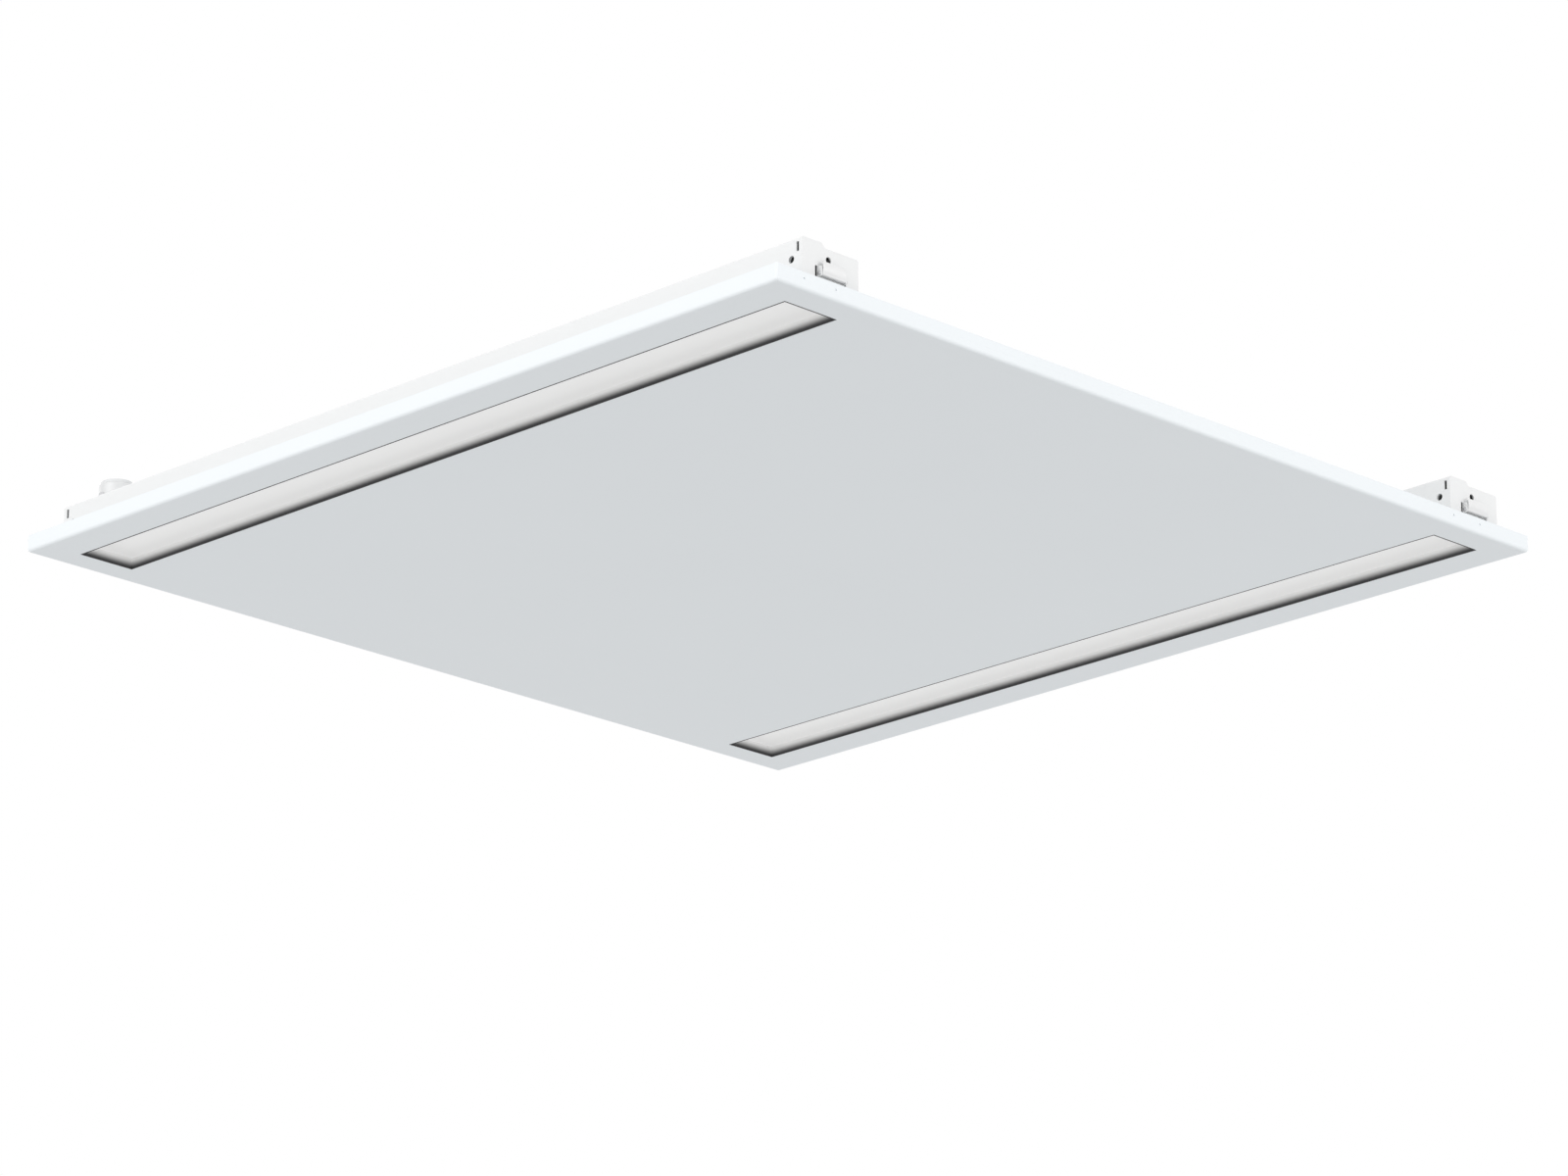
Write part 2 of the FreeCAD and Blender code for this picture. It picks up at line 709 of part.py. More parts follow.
def make_board_plugs():
    plugs = []
    front = -board_front_reach + plug_setback
    up = board_low - plug_height / 2
    for sign in BOTH:
        cx = sign * slot_x
        plug = block(cx - plug_width / 2, cx + plug_width / 2, front, front + plug_length,
                     board_low - plug_height, board_low)
        mouth = cx - sign * plug_width / 2
        for y in plug_lead_places():
            plug = drill_blind(plug, vec(mouth, y, up), vec(-sign, 0, 0), lead_socket, lead_socket_radius)
        plugs.append(plug)
    return Part.makeCompound(plugs)


def plug_lead_places():
    middle = -board_front_reach + plug_setback + plug_length / 2
    return middle - plug_lead_half_pitch, middle + plug_lead_half_pitch


def make_brace(end):
    y = end * brace_position
    web = brace_top_width / 2 - sheet / 2
    toe = web + brace_flange
    high = brace_top - sheet / 2
    path = [(y - toe, on_face), (y - web, on_face), (y - web, high),
            (y + web, high), (y + web, on_face), (y + toe, on_face)]
    parts = [along_x(sheet_outline(path, sheet, bend_inside), -brace_reach, brace_reach)]
    for sign in BOTH:
        parts.append(block(sign * brace_reach, sign * (brace_reach - sheet),
                           y - brace_tab_half, y + brace_tab_half, brace_inner_top, brace_tab_top))
    body = fuse(parts)
    for sign in BOTH:
        near = sign * (brace_reach - sheet)
        far = sign * brace_reach
        for step in BOTH:
            at = y + step * brace_rivet_half_span
            body = drill(body, vec(near, at, brace_rivet_up), vec(far, at, brace_rivet_up), rivet_radius)
    for x, at in box_screw_places():
        if at * end > 0:
            body = drill(body, vec(x, at, brace_inner_top), vec(x, at, brace_top), screw_radius + screw_gap)
    port = floor_port(end)
    return drill(body, vec(port, y, brace_inner_top), vec(port, y, brace_top), floor_hole_radius + port_wall)


def box_screw_places():
    places = []
    for sign in BOTH:
        for end in BOTH:
            places.append((sign * box_screw_shift, end * (brace_position + box_screw_beyond)))
    return places


def floor_port(end):
    return 0 if end < 0 else floor_port_back_x


def make_driver_box():
    shell = block(-box_half_width, box_half_width, -box_half_length, box_half_length, brace_top, box_top)
    upright = [e for e in shell.Edges if e.BoundBox.ZLength > box_depth / 2]
    shell = shell.makeFillet(box_corner, upright)
    shell = shell.makeFillet(box_corner, [e for e in shell.Edges if e.BoundBox.ZMax < brace_top + tiny])
    inner = block(-box_half_width + sheet, box_half_width - sheet, -box_half_length + sheet,
                  box_half_length - sheet, floor_top, box_top + past)
    inner_upright = [e for e in inner.Edges if e.BoundBox.ZLength > box_depth / 2]
    shell = shell.cut(inner.makeFillet(box_corner - sheet, inner_upright))
    tab = block(-box_half_width + sheet / 2, -box_half_width + sheet + box_lug_reach,
                -box_lug_half, box_lug_half, box_top - sheet, box_top)
    shell = shell.fuse(tab)
    for start, finish, owner in knuckle_spans():
        if owner == "box":
            web_low = box_top - hinge_knuckle_radius
            web = block(box_half_width - sheet / 2, hinge_x, start, finish, web_low, web_low + sheet)
            shell = shell.fuse([hinge_rod(start, finish, hinge_knuckle_radius), web])
    shell = shell.removeSplitter().cut(hinge_bore(hinge_pin_radius))
    shell = drill(shell, vec(thumb_x, 0, box_top - sheet), vec(thumb_x, 0, box_top),
                  thumb_shank_radius + thumb_seat_gap)
    for x, y in box_screw_places() + driver_screw_places() + [(ground_x, ground_y)]:
        shell = drill(shell, vec(x, y, brace_top), vec(x, y, floor_top), screw_radius + screw_gap)
    for end in BOTH:
        port = floor_port(end)
        y = end * brace_position
        shell = drill(shell, vec(port, y, brace_top), vec(port, y, floor_top), floor_hole_radius + port_wall)
        inside = end * (box_half_length - sheet)
        shell = drill(shell, vec(knockout_shift, inside, knockout_up),
                      vec(knockout_shift, end * box_half_length, knockout_up), knockout_radius)
    return shell


def hinge_rod(start, finish, radius):
    return rod(vec(hinge_x, start, box_top), vec(hinge_x, finish, box_top), radius)


def hinge_bore(radius):
    return hinge_rod(-hinge_half_length - past, hinge_half_length + past, radius)


def knuckle_spans():
    pitch = 2 * hinge_half_length / hinge_knuckles
    for index in range(hinge_knuckles):
        start = -hinge_half_length + index * pitch + hinge_end_gap / 2
        yield start, start + pitch - hinge_end_gap, "box" if index % 2 == 0 else "cover"


def make_knockout_discs():
    discs = []
    for end in BOTH:
        outside = vec(knockout_shift, end * box_half_length, knockout_up)
        inside = vec(knockout_shift, end * (box_half_length - sheet), knockout_up)
        discs.append(rod(outside, inside, knockout_radius - knockout_gap))
    return Part.makeCompound(discs)


def make_driver_cover():
    out = box_half_width + cover_gap + cover_sheet
    long = box_half_length + cover_gap + cover_sheet
    top = box_top + cover_sheet
    low = box_top - cover_skirt
    lid = block(-out, box_half_width, -long, long, low, top)
    near = [e for e in lid.Edges if e.BoundBox.XMax < tiny - out and e.BoundBox.ZMin > low + tiny]
    ends = [e for e in lid.Edges if e.BoundBox.XLength > out and e.BoundBox.ZMin > low + tiny]
    lid = lid.makeFillet(bend_inside, near + ends)
    inside = block(-out + cover_sheet, box_half_width + past, -long + cover_sheet, long - cover_sheet,
                   low - past, box_top)
    lid = lid.cut(inside)
    for start, finish, owner in knuckle_spans():
        if owner == "cover":
            web = block(box_half_width - sheet, hinge_x, start, finish, box_top, top)
            lid = lid.fuse([hinge_rod(start, finish, hinge_knuckle_radius), web])
    lid = lid.removeSplitter().cut(hinge_bore(hinge_pin_radius + running_gap))
    return drill(lid, vec(thumb_x, 0, box_top), vec(thumb_x, 0, top), thumb_shank_radius + thumb_hole_gap)


def make_hinge_pin():
    parts = [hinge_rod(-hinge_half_length, hinge_half_length, hinge_pin_radius)]
    for end in BOTH:
        seat = end * hinge_half_length
        parts.append(hinge_rod(seat, seat + end * hinge_head, hinge_head_radius))
    return fuse(parts)


def make_thumbscrew():
    seat = box_top + cover_sheet
    top = seat + thumb_head_height
    head = rod(vec(thumb_x, 0, seat), vec(thumb_x, 0, top), thumb_head_radius)
    rims = [e for e in head.Edges if e.BoundBox.ZLength < tiny]
    head = head.makeChamfer(thumb_edge, rims)
    for step in range(thumb_flutes):
        angle = 2 * math.pi * step / thumb_flutes
        x = thumb_x + thumb_head_radius * math.cos(angle)
        y = thumb_head_radius * math.sin(angle)
        head = drill(head, vec(x, y, seat), vec(x, y, top), thumb_flute_radius)
    tip = vec(thumb_x, 0, seat - thumb_shank_length)
    shank = rod(vec(thumb_x, 0, seat), tip, thumb_shank_radius)
    shank = shank.makeChamfer(thumb_edge, [ring_at(shank, tip)])
    return head.fuse(shank).removeSplitter()


def driver_screw_places():
    middle = driver_foot_length / 2
    return [(0, driver_front - middle), (0, driver_back + middle)]


def make_led_driver():
    wide = driver_width / 2
    can = block(-wide, wide, driver_front, driver_back, floor_top, floor_top + driver_height)
    edges = [e for e in can.Edges if e.BoundBox.ZMax > floor_top + tiny]
    can = can.makeFillet(driver_corner, edges)
    foot_top = floor_top + driver_foot_sheet
    feet = block(-driver_foot_half, driver_foot_half, driver_front - driver_foot_length,
                 driver_back + driver_foot_length, floor_top, foot_top)
    body = can.fuse(feet).removeSplitter()
    for x, y in driver_screw_places():
        body = drill(body, vec(x, y, floor_top), vec(x, y, foot_top), screw_radius + screw_gap)
    for x in driver_outputs:
        mouth = vec(x, driver_front, driver_lead_z)
        body = drill_blind(body, mouth, -Y, lead_socket, lead_socket_radius)
    for x in driver_inputs:
        mouth = vec(x, driver_back, driver_lead_z)
        body = drill_blind(body, mouth, Y, lead_socket, lead_socket_radius)
    return body


def make_terminal_block():
    wide, deep, tall = terminal_size
    body = block(terminal_x, terminal_x + wide, terminal_y, terminal_y + deep, floor_top, floor_top + tall)
    body = body.makeFillet(terminal_round, [e for e in body.Edges if e.BoundBox.ZMax > floor_top + tiny])
    for entry in supply_entries:
        mouth = vec(terminal_x + entry, terminal_y, driver_lead_z)
        body = drill_blind(body, mouth, -Y, lead_socket, lead_socket_radius)
    for entry in driver_entries:
        mouth = vec(terminal_x + wide, terminal_y + entry, driver_lead_z)
        body = drill_blind(body, mouth, X, lead_socket, lead_socket_radius)
    return body


def make_ground_lug():
    x = ground_x
    y = ground_y
    up = floor_top + lug_sleeve_radius
    top = floor_top + sheet
    ring = rod(vec(x, y, floor_top), vec(x, y, top), screw_head_radius + lug_rim)
    tongue = block(x - lug_tongue, x, y - lug_tongue_half, y + lug_tongue_half, floor_top, top)
    sleeve = rod(vec(x - lug_sleeve_from, y, up), vec(x - lug_sleeve_to, y, up), lug_sleeve_radius)
    body = fuse([ring, tongue, sleeve])
    body = body.cut(rod(vec(x - lug_sleeve_from, y, up), vec(x - lug_tongue, y, up), lead_radius + running_gap))
    return drill(body, vec(x, y, floor_top), vec(x, y, top), screw_radius + screw_gap)


def make_supply_leads():
    # line, neutral and ground, from the cable connector's throat to the terminals
    run_x = -slot_x + lead_in_channel
    y = brace_position
    leads = []
    for index, level in enumerate((1, 0, -1)):
        lift = level * lead_pitch
        drop_x = connector_x + lift
        rise_x = floor_port_back_x - lift
        run_up = cover_low - lead_drop + lift
        points = [vec(drop_x, connector_y, cover_low),
                  vec(drop_x, connector_y, run_up),
                  vec(run_x, connector_y, run_up),
                  vec(run_x, y + lead_ramp, run_up),
                  vec(run_x, y, lead_up + lift),
                  vec(rise_x, y, lead_up + lift)]
        bends = [lead_tight_bend, lead_tight_bend, lead_ramp, lead_tight_bend, lead_bend]
        if level == -1:
            up = floor_top + lug_sleeve_radius
            stub = ground_x - lug_sleeve_from
            points += [vec(rise_x, y, up + lead_bend), vec(stub - lead_bend, ground_y, up),
                       vec(ground_x - lug_tongue, ground_y, up)]
            bends += [lead_tight_bend, lead_tight_bend]
        else:
            x = terminal_x + supply_entries[index]
            into = terminal_y + lead_socket
            points += [vec(rise_x, y, driver_lead_z), vec(x, terminal_y - lead_bend, driver_lead_z),
                       vec(x, into, driver_lead_z)]
            bends += [lead_bend, lead_bend]
        leads.append(lead(points, bends))
    return leads


def make_led_leads(sign):
    # two leads from the driver's front end to the plug under the board
    y = -brace_position
    plug_face = slot_x - plug_width / 2
    plug_up = board_low - plug_height / 2
    far_y, near_y = plug_lead_places()
    tubes = []
    for level, shift, plug_y in ((1, lead_far, near_y), (-1, lead_near, far_y)):
        run_x = slot_x - lead_in_channel + (lead_pitch if level > 0 else 0)
        run_up = lead_up + level * lead_pitch / 2
        points = [vec(shift, driver_front + lead_socket, driver_lead_z),
                  vec(shift, y, driver_lead_z),
                  vec(shift, y, run_up),
                  vec(run_x, y, run_up),
                  vec(run_x, near_y + lead_ramp, run_up),
                  vec(run_x, plug_y, plug_up),
                  vec(plug_face + lead_socket, plug_y, plug_up)]
        tubes.append(lead(points, [lead_bend, lead_bend, lead_tight_bend, lead_ramp, lead_tight_bend]))
    pair = Part.makeCompound(tubes)
    return pair if sign > 0 else mirror_x(pair)


def make_driver_input_leads():
    tubes = []
    into = terminal_x + terminal_size[0] - lead_socket
    for x, entry in zip(driver_inputs, driver_entries):
        y = terminal_y + entry
        points = [vec(x, driver_back - lead_socket, driver_lead_z), vec(x, y, driver_lead_z),
                  vec(into, y, driver_lead_z)]
        tubes.append(lead(points, [lead_wide_bend]))
    return Part.makeCompound(tubes)


def bushing(start, out, hole, grip):
    # a snap bushing: a barrel through the sheets with a flange on both faces
    barrel_radius = hole + port_wall
    flange_radius = barrel_radius + port_flange
    far = start + out * grip
    first = start - out * port_flange
    last = far + out * port_flange
    flanges = [rod(first, start, flange_radius), rod(far, last, flange_radius)]
    return drill(fuse([rod(first, last, barrel_radius)] + flanges), first, last, hole)


def make_wall_bushings():
    pieces = []
    for sign in BOTH:
        for end in BOTH:
            if has_wall_port(sign, end):
                start = vec(sign * brace_reach, end * brace_position, lead_up)
                pieces.append(bushing(start, X * sign, port_hole_radius, sheet))
    return Part.makeCompound(pieces)


def make_floor_bushings():
    pieces = []
    for end in BOTH:
        start = vec(floor_port(end), end * brace_position, brace_inner_top)
        pieces.append(bushing(start, Z, floor_hole_radius, 2 * sheet))
    return Part.makeCompound(pieces)


def on_connector(z):
    # a point on the cable connector's axis
    return vec(connector_x, connector_y, z)


def make_connector():
    body = rod(on_connector(cover_top), on_connector(connector_top), connector_radius)
    body = body.makeFillet(connector_round, [ring_at(body, on_connector(connector_top))])
    collar_top = cover_top + connector_collar
    neck_low = cover_top - connector_neck_drop
    collar = rod(on_connector(cover_top), on_connector(collar_top), connector_collar_radius)
    neck = rod(on_connector(cover_top), on_connector(neck_low), connector_neck)
    body = fuse([body, collar, neck])
    body = body.cut(rod(on_connector(collar_top), on_connector(connector_top + past), connector_bore))
    body = drill(body, on_connector(neck_low), on_connector(collar_top), connector_throat)
    middle = on_connector(clamp_screw_up)
    return drill(body, middle - X * connector_radius, middle - X * past, clamp_shank_radius + screw_gap)


def make_locknut():
    low = cover_low - locknut_height
    nut = hex_rod(on_connector(low), on_connector(cover_low), locknut_across)
    return drill(nut, on_connector(low), on_connector(cover_low), connector_neck + running_gap)


def make_clamp_screw():
    middle = on_connector(clamp_screw_up)
    seat = middle - X * connector_radius
    top = seat - X * clamp_head
    tip = middle - X * (math.sqrt(connector_bore ** 2 - clamp_shank_radius ** 2) + clamp_shank_gap)
    head = rod(seat, top, clamp_head_radius)
    shank = rod(seat - X * (clamp_head / 2), tip, clamp_shank_radius)
    body = head.fuse(shank).removeSplitter()
    slit = cross_recess_width / 2
    groove = block(top.x - past, top.x + clamp_head / 2, connector_y - clamp_head_radius,
                   connector_y + clamp_head_radius, clamp_screw_up - slit, clamp_screw_up + slit)
    return body.cut(groove)


def make_lip_rivets():
    pieces = []
    for sign in BOTH:
        x = sign * slot_x + lip_edge - lip_width / 2
        for y in lip_rivet_places():
            pieces.append(rivet(vec(x, y, channel_height), Z, 2 * sheet, True))
    return Part.makeCompound(pieces)


def make_rim_rivets():
    pieces = []
    for sign in BOTH:
        for shift in rim_rivet_shifts:
            for end in BOTH:
                face = vec(sign * slot_x + shift, end * half, rim_rivet_up)
                pieces.append(rivet(face, Y * end, 2 * sheet, False))
    return Part.makeCompound(pieces)


def make_brace_rivets():
    pieces = []
    for sign in BOTH:
        for end in BOTH:
            for step in BOTH:
                y = end * brace_position + step * brace_rivet_half_span
                seat = vec(sign * (brace_reach - sheet), y, brace_rivet_up)
                pieces.append(rivet(seat, X * -sign, 2 * sheet, True))
    return Part.makeCompound(pieces)


def make_box_screws():
    pieces = []
    for x, y in box_screw_places():
        pieces.append(pan_screw(x, y, floor_top, 2 * sheet))
    return Part.makeCompound(pieces)


def make_driver_screws():
    pieces = []
    for x, y in driver_screw_places():
        pieces.append(pan_screw(x, y, floor_top + driver_foot_sheet, driver_foot_sheet + sheet))
    return Part.makeCompound(pieces)


def make_all():
    nodes = {"face_pan": make_face_pan()}
    for name, sign in SIDES:
        nodes["slot_baffle_" + name] = make_baffle(sign)
        nodes["channel_housing_" + name] = make_housing(sign)
        nodes["channel_cover_" + name] = make_channel_cover(sign)
        nodes["slot_lens_" + name] = make_lens(sign)
        nodes["reflector_" + name] = make_reflector(sign)
        nodes["led_board_" + name] = make_board(sign)
        nodes["led_emitters_" + name] = make_emitters(sign)
        nodes["led_leads_" + name] = make_led_leads(sign)
        for end_name, end in ENDS:
            nodes["end_plate_" + name + "_" + end_name] = make_end_plate(sign, end)
            nodes["grid_clip_" + name + "_" + end_name] = make_grid_clip(sign, end)
    nodes["clip_pins"] = make_clip_pins()
    nodes["board_plugs"] = make_board_plugs()
    for end_name, end in ENDS:
        nodes["cross_brace_" + end_name] = make_brace(end)
    nodes["driver_box"] = make_driver_box()
    nodes["knockout_discs"] = make_knockout_discs()
    nodes["driver_cover"] = make_driver_cover()
    nodes["cover_hinge_pin"] = make_hinge_pin()
    nodes["cover_thumbscrew"] = make_thumbscrew()
    nodes["led_driver"] = make_led_driver()
    nodes["terminal_block"] = make_terminal_block()
    nodes["ground_lug"] = make_ground_lug()
    nodes["ground_screw"] = pan_screw(ground_x, ground_y, floor_top + sheet, 2 * sheet)
    line, neutral, ground = make_supply_leads()
    nodes["supply_lead_line"] = line
    nodes["supply_lead_neutral"] = neutral
    nodes["supply_lead_ground"] = ground
    nodes["driver_input_leads"] = make_driver_input_leads()
    nodes["wall_bushings"] = make_wall_bushings()
    nodes["floor_bushings"] = make_floor_bushings()
    nodes["cable_connector"] = make_connector()
    nodes["connector_locknut"] = make_locknut()
    nodes["connector_clamp_screw"] = make_clamp_screw()
    nodes["lip_rivets"] = make_lip_rivets()
    nodes["rim_rivets"] = make_rim_rivets()
    nodes["brace_rivets"] = make_brace_rivets()
    nodes["box_screws"] = make_box_screws()
    nodes["driver_screws"] = make_driver_screws()
    return nodes


def main():
    os.makedirs("parts", exist_ok=True)
    for name, shape in make_all().items():
        solids = len(shape.Solids)
        print(name, "solids", solids, "valid", shape.isValid(), "volume", round(shape.Volume, 1))
        shape.exportStep("parts/" + name + ".step")


main()
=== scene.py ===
import json
import math

import bmesh
import bpy
import numpy as np
from mathutils import Matrix, Vector


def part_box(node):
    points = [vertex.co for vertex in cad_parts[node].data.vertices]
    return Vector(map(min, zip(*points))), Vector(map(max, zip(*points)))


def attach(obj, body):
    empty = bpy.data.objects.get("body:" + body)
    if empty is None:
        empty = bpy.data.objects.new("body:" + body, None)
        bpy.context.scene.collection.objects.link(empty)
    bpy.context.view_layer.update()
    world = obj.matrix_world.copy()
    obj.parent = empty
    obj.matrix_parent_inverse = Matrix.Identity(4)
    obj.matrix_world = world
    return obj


# Recessed troffer light as it lies in a ceiling grid, in metres. The face's underside is at z = 0 and looks
# down, the light slots run along Y, and the left side is -X.

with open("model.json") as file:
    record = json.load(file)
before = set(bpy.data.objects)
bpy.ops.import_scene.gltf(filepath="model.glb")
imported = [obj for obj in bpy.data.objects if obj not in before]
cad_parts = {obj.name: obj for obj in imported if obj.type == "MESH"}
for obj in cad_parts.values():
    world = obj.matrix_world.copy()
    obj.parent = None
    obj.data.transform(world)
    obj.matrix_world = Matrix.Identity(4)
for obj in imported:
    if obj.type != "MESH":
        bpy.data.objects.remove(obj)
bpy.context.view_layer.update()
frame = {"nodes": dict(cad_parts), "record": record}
scene = bpy.context.scene
print("stage: frame loaded,", len(frame["nodes"]), "nodes")


# small helpers for shader trees

def rgb(r, g, b):
    return (r, g, b, 1.0)


def addNode(tree, kind, inputs=None, **settings):
    # a shader node with settings, whose inputs are fixed values or the sockets that feed them
    node = tree.nodes.new(kind)
    for name, value in settings.items():
        setattr(node, name, value)
    for name, value in (inputs or {}).items():
        if isinstance(value, bpy.types.NodeSocket):
            tree.links.new(value, node.inputs[name])
        else:
            node.inputs[name].default_value = value
    return node


def objectPoint(tree):
    return addNode(tree, "ShaderNodeTexCoord").outputs["Object"]


def mathNode(tree, operation, first, second):
    return addNode(tree, "ShaderNodeMath", {0: first, 1: second}, operation=operation).outputs[0]


def weighed(tree, first, firstShare, second, secondShare):
    # the sum of both, each times its share
    scaledFirst = mathNode(tree, "MULTIPLY", first, firstShare)
    scaledSecond = mathNode(tree, "MULTIPLY", second, secondShare)
    return mathNode(tree, "ADD", scaledFirst, scaledSecond)


def blendColours(tree, share, first, second):
    # sockets 0, 6 and 7 are the share and the two colours, and output 2 is the blend
    return addNode(tree, "ShaderNodeMix", {0: share, 6: first, 7: second}, data_type="RGBA").outputs[2]


def spread(tree, value, low, high, start=0.0, end=1.0, curve="LINEAR"):
    # carries a value between start and end over to the span low to high
    spans = {"Value": value, "From Min": start, "From Max": end, "To Min": low, "To Max": high}
    return addNode(tree, "ShaderNodeMapRange", spans, interpolation_type=curve).outputs["Result"]


def noise(tree, point, scale, detail, output=0):
    # output 0 is one value, output 1 is three that differ, as a colour
    settings = {"Vector": point, "Scale": scale, "Detail": detail}
    return addNode(tree, "ShaderNodeTexNoise", settings).outputs[output]


# shared effects: each is one node group, built once, with its scales in waves per metre

def newGroup(name, label, value, outputs):
    # a point and one more value go in, and values that change over the surface come out
    group = bpy.data.node_groups.new(name, "ShaderNodeTree")
    kind = "NodeSocketFloat" if isinstance(value, float) else "NodeSocketVector"
    group.interface.new_socket("Point", in_out="INPUT", socket_type="NodeSocketVector")
    group.interface.new_socket(label, in_out="INPUT", socket_type=kind).default_value = value
    for output in outputs:
        group.interface.new_socket(output, in_out="OUTPUT", socket_type="NodeSocketFloat")
    start = group.nodes.new("NodeGroupInput").outputs
    end = group.nodes.new("NodeGroupOutput").inputs
    return group, start, end


peelSizes = {"ripple": 420.0, "rippleDetail": 1.5, "rippleShare": 0.8, "grainTimes": 4.5, "grainDetail": 1.0,
             "grainShare": 0.2, "tone": 7.0, "toneDetail": 3.0}


def buildPaintPeel():
    # powder coat: soft ripples as in orange peel, a finer grain in them, and a broad faint change of tone
    group, start, end = newGroup("paintPeel", "Ripple", peelSizes["ripple"], ("Height", "Tone"))
    ripple = noise(group, start["Point"], start["Ripple"], peelSizes["rippleDetail"])
    finer = mathNode(group, "MULTIPLY", start["Ripple"], peelSizes["grainTimes"])
    grain = noise(group, start["Point"], finer, peelSizes["grainDetail"])
    height = weighed(group, ripple, peelSizes["rippleShare"], grain, peelSizes["grainShare"])
    group.links.new(height, end["Height"])
    group.links.new(noise(group, start["Point"], peelSizes["tone"], peelSizes["toneDetail"]), end["Tone"])
    return group


cellSizes = {"cells": 165.0, "sway": 260.0, "swayDetail": 3.0, "swayReach": 0.0035, "feather": 1400.0,
             "featherDetail": 4.0, "cellShare": 0.75, "featherShare": 0.25}


def buildZincCells():
    # hot-dip zinc: crystal cells of uneven tone and polish with wavering edges, and fine feathering over them
    group, start, end = newGroup("zincCells", "Cells", cellSizes["cells"], ("Tone", "Polish", "Height"))
    sway = noise(group, start["Point"], cellSizes["sway"], cellSizes["swayDetail"], output=1)
    reach = {0: sway, "Scale": cellSizes["swayReach"]}
    shift = addNode(group, "ShaderNodeVectorMath", reach, operation="SCALE").outputs[0]
    bent = addNode(group, "ShaderNodeVectorMath", {0: start["Point"], 1: shift}, operation="ADD")
    cells = addNode(group, "ShaderNodeTexVoronoi", {"Vector": bent.outputs[0], "Scale": start["Cells"]})
    channels = addNode(group, "ShaderNodeSeparateColor", {"Color": cells.outputs["Color"]}).outputs
    feather = noise(group, start["Point"], cellSizes["feather"], cellSizes["featherDetail"])
    tone = weighed(group, channels[0], cellSizes["cellShare"], feather, cellSizes["featherShare"])
    group.links.new(tone, end["Tone"])
    group.links.new(channels[1], end["Polish"])
    group.links.new(feather, end["Height"])
    return group


grainSizes = {"grain": 2400.0, "grainDetail": 2.0, "tone": 60.0, "toneDetail": 3.0}


def buildMouldGrain():
    # moulded plastic: a fine spark-eroded grain and slow flow marks
    group, start, end = newGroup("mouldGrain", "Grain", grainSizes["grain"], ("Height", "Tone"))
    group.links.new(noise(group, start["Point"], start["Grain"], grainSizes["grainDetail"]), end["Height"])
    group.links.new(noise(group, start["Point"], grainSizes["tone"], grainSizes["toneDetail"]), end["Tone"])
    return group


lineSizes = {"squeeze": (1.0, 1.0, 1.0), "height": 3000.0, "heightDetail": 3.0, "tone": 500.0,
             "toneDetail": 2.0}


def buildDrawnLines():
    # rolled or drawn metal: long fine lines, made by squeezing the noise along one direction
    group, start, end = newGroup("drawnLines", "Squeeze", lineSizes["squeeze"], ("Height", "Tone"))
    sides = {0: start["Point"], 1: start["Squeeze"]}
    squeezed = addNode(group, "ShaderNodeVectorMath", sides, operation="MULTIPLY").outputs[0]
    group.links.new(noise(group, squeezed, lineSizes["height"], lineSizes["heightDetail"]), end["Height"])
    group.links.new(noise(group, squeezed, lineSizes["tone"], lineSizes["toneDetail"]), end["Tone"])
    return group


paintPeel = buildPaintPeel()
zincCells = buildZincCells()
mouldGrain = buildMouldGrain()
drawnLines = buildDrawnLines()
print("stage: four shared effects built")


bumps = {"paint": {"depth": 0.00006, "strength": 0.35}, "plastic": {"depth": 0.00003, "strength": 0.3},
         "metal": {"depth": 0.00002, "strength": 0.3}, "emitter": {"depth": 0.00002, "strength": 0.3}}


def useGroup(tree, group, **inputs):
    return addNode(tree, "ShaderNodeGroup", {"Point": objectPoint(tree), **inputs}, node_tree=group).outputs


def newMaterial(name, sockets):
    # a material whose shader's own sockets hold the numbers that are the same all over
    material = bpy.data.materials.new(name)
    material.use_nodes = True
    tree = material.node_tree
    shader = tree.nodes["Principled BSDF"]
    for label, value in sockets.items():
        shader.inputs[label].default_value = value
    return material, tree, shader


def addColour(tree, shader, share, look):
    # the look's dark colour where the share is 0, and its light one where it is 1
    tree.links.new(blendColours(tree, share, look["dark"], look["light"]), shader.inputs["Base Color"])


def addBump(tree, shader, height, bump):
    inputs = {"Strength": bump["strength"], "Distance": bump["depth"], "Height": height}
    tree.links.new(addNode(tree, "ShaderNodeBump", inputs).outputs["Normal"], shader.inputs["Normal"])


# painted sheet

paintLooks = {
    "facePaint": {"light": rgb(0.775, 0.812, 0.836), "dark": rgb(0.757, 0.793, 0.818),
                  "roughness": 0.42, "ripple": 420.0},
    "channelPaint": {"light": rgb(0.758, 0.768, 0.772), "dark": rgb(0.742, 0.751, 0.756),
                     "roughness": 0.45, "ripple": 420.0},
    "reflectorPaint": {"light": rgb(0.880, 0.880, 0.872), "dark": rgb(0.862, 0.862, 0.852),
                       "roughness": 0.62, "ripple": 420.0},
    "driverEnamel": {"light": rgb(0.760, 0.765, 0.770), "dark": rgb(0.735, 0.740, 0.748),
                     "roughness": 0.36, "ripple": 420.0},
}


def paintMaterial(name, look):
    material, tree, shader = newMaterial(name, {"Roughness": look["roughness"]})
    peel = useGroup(tree, paintPeel, Ripple=look["ripple"])
    addColour(tree, shader, peel["Tone"], look)
    addBump(tree, shader, peel["Height"], bumps["paint"])
    return material
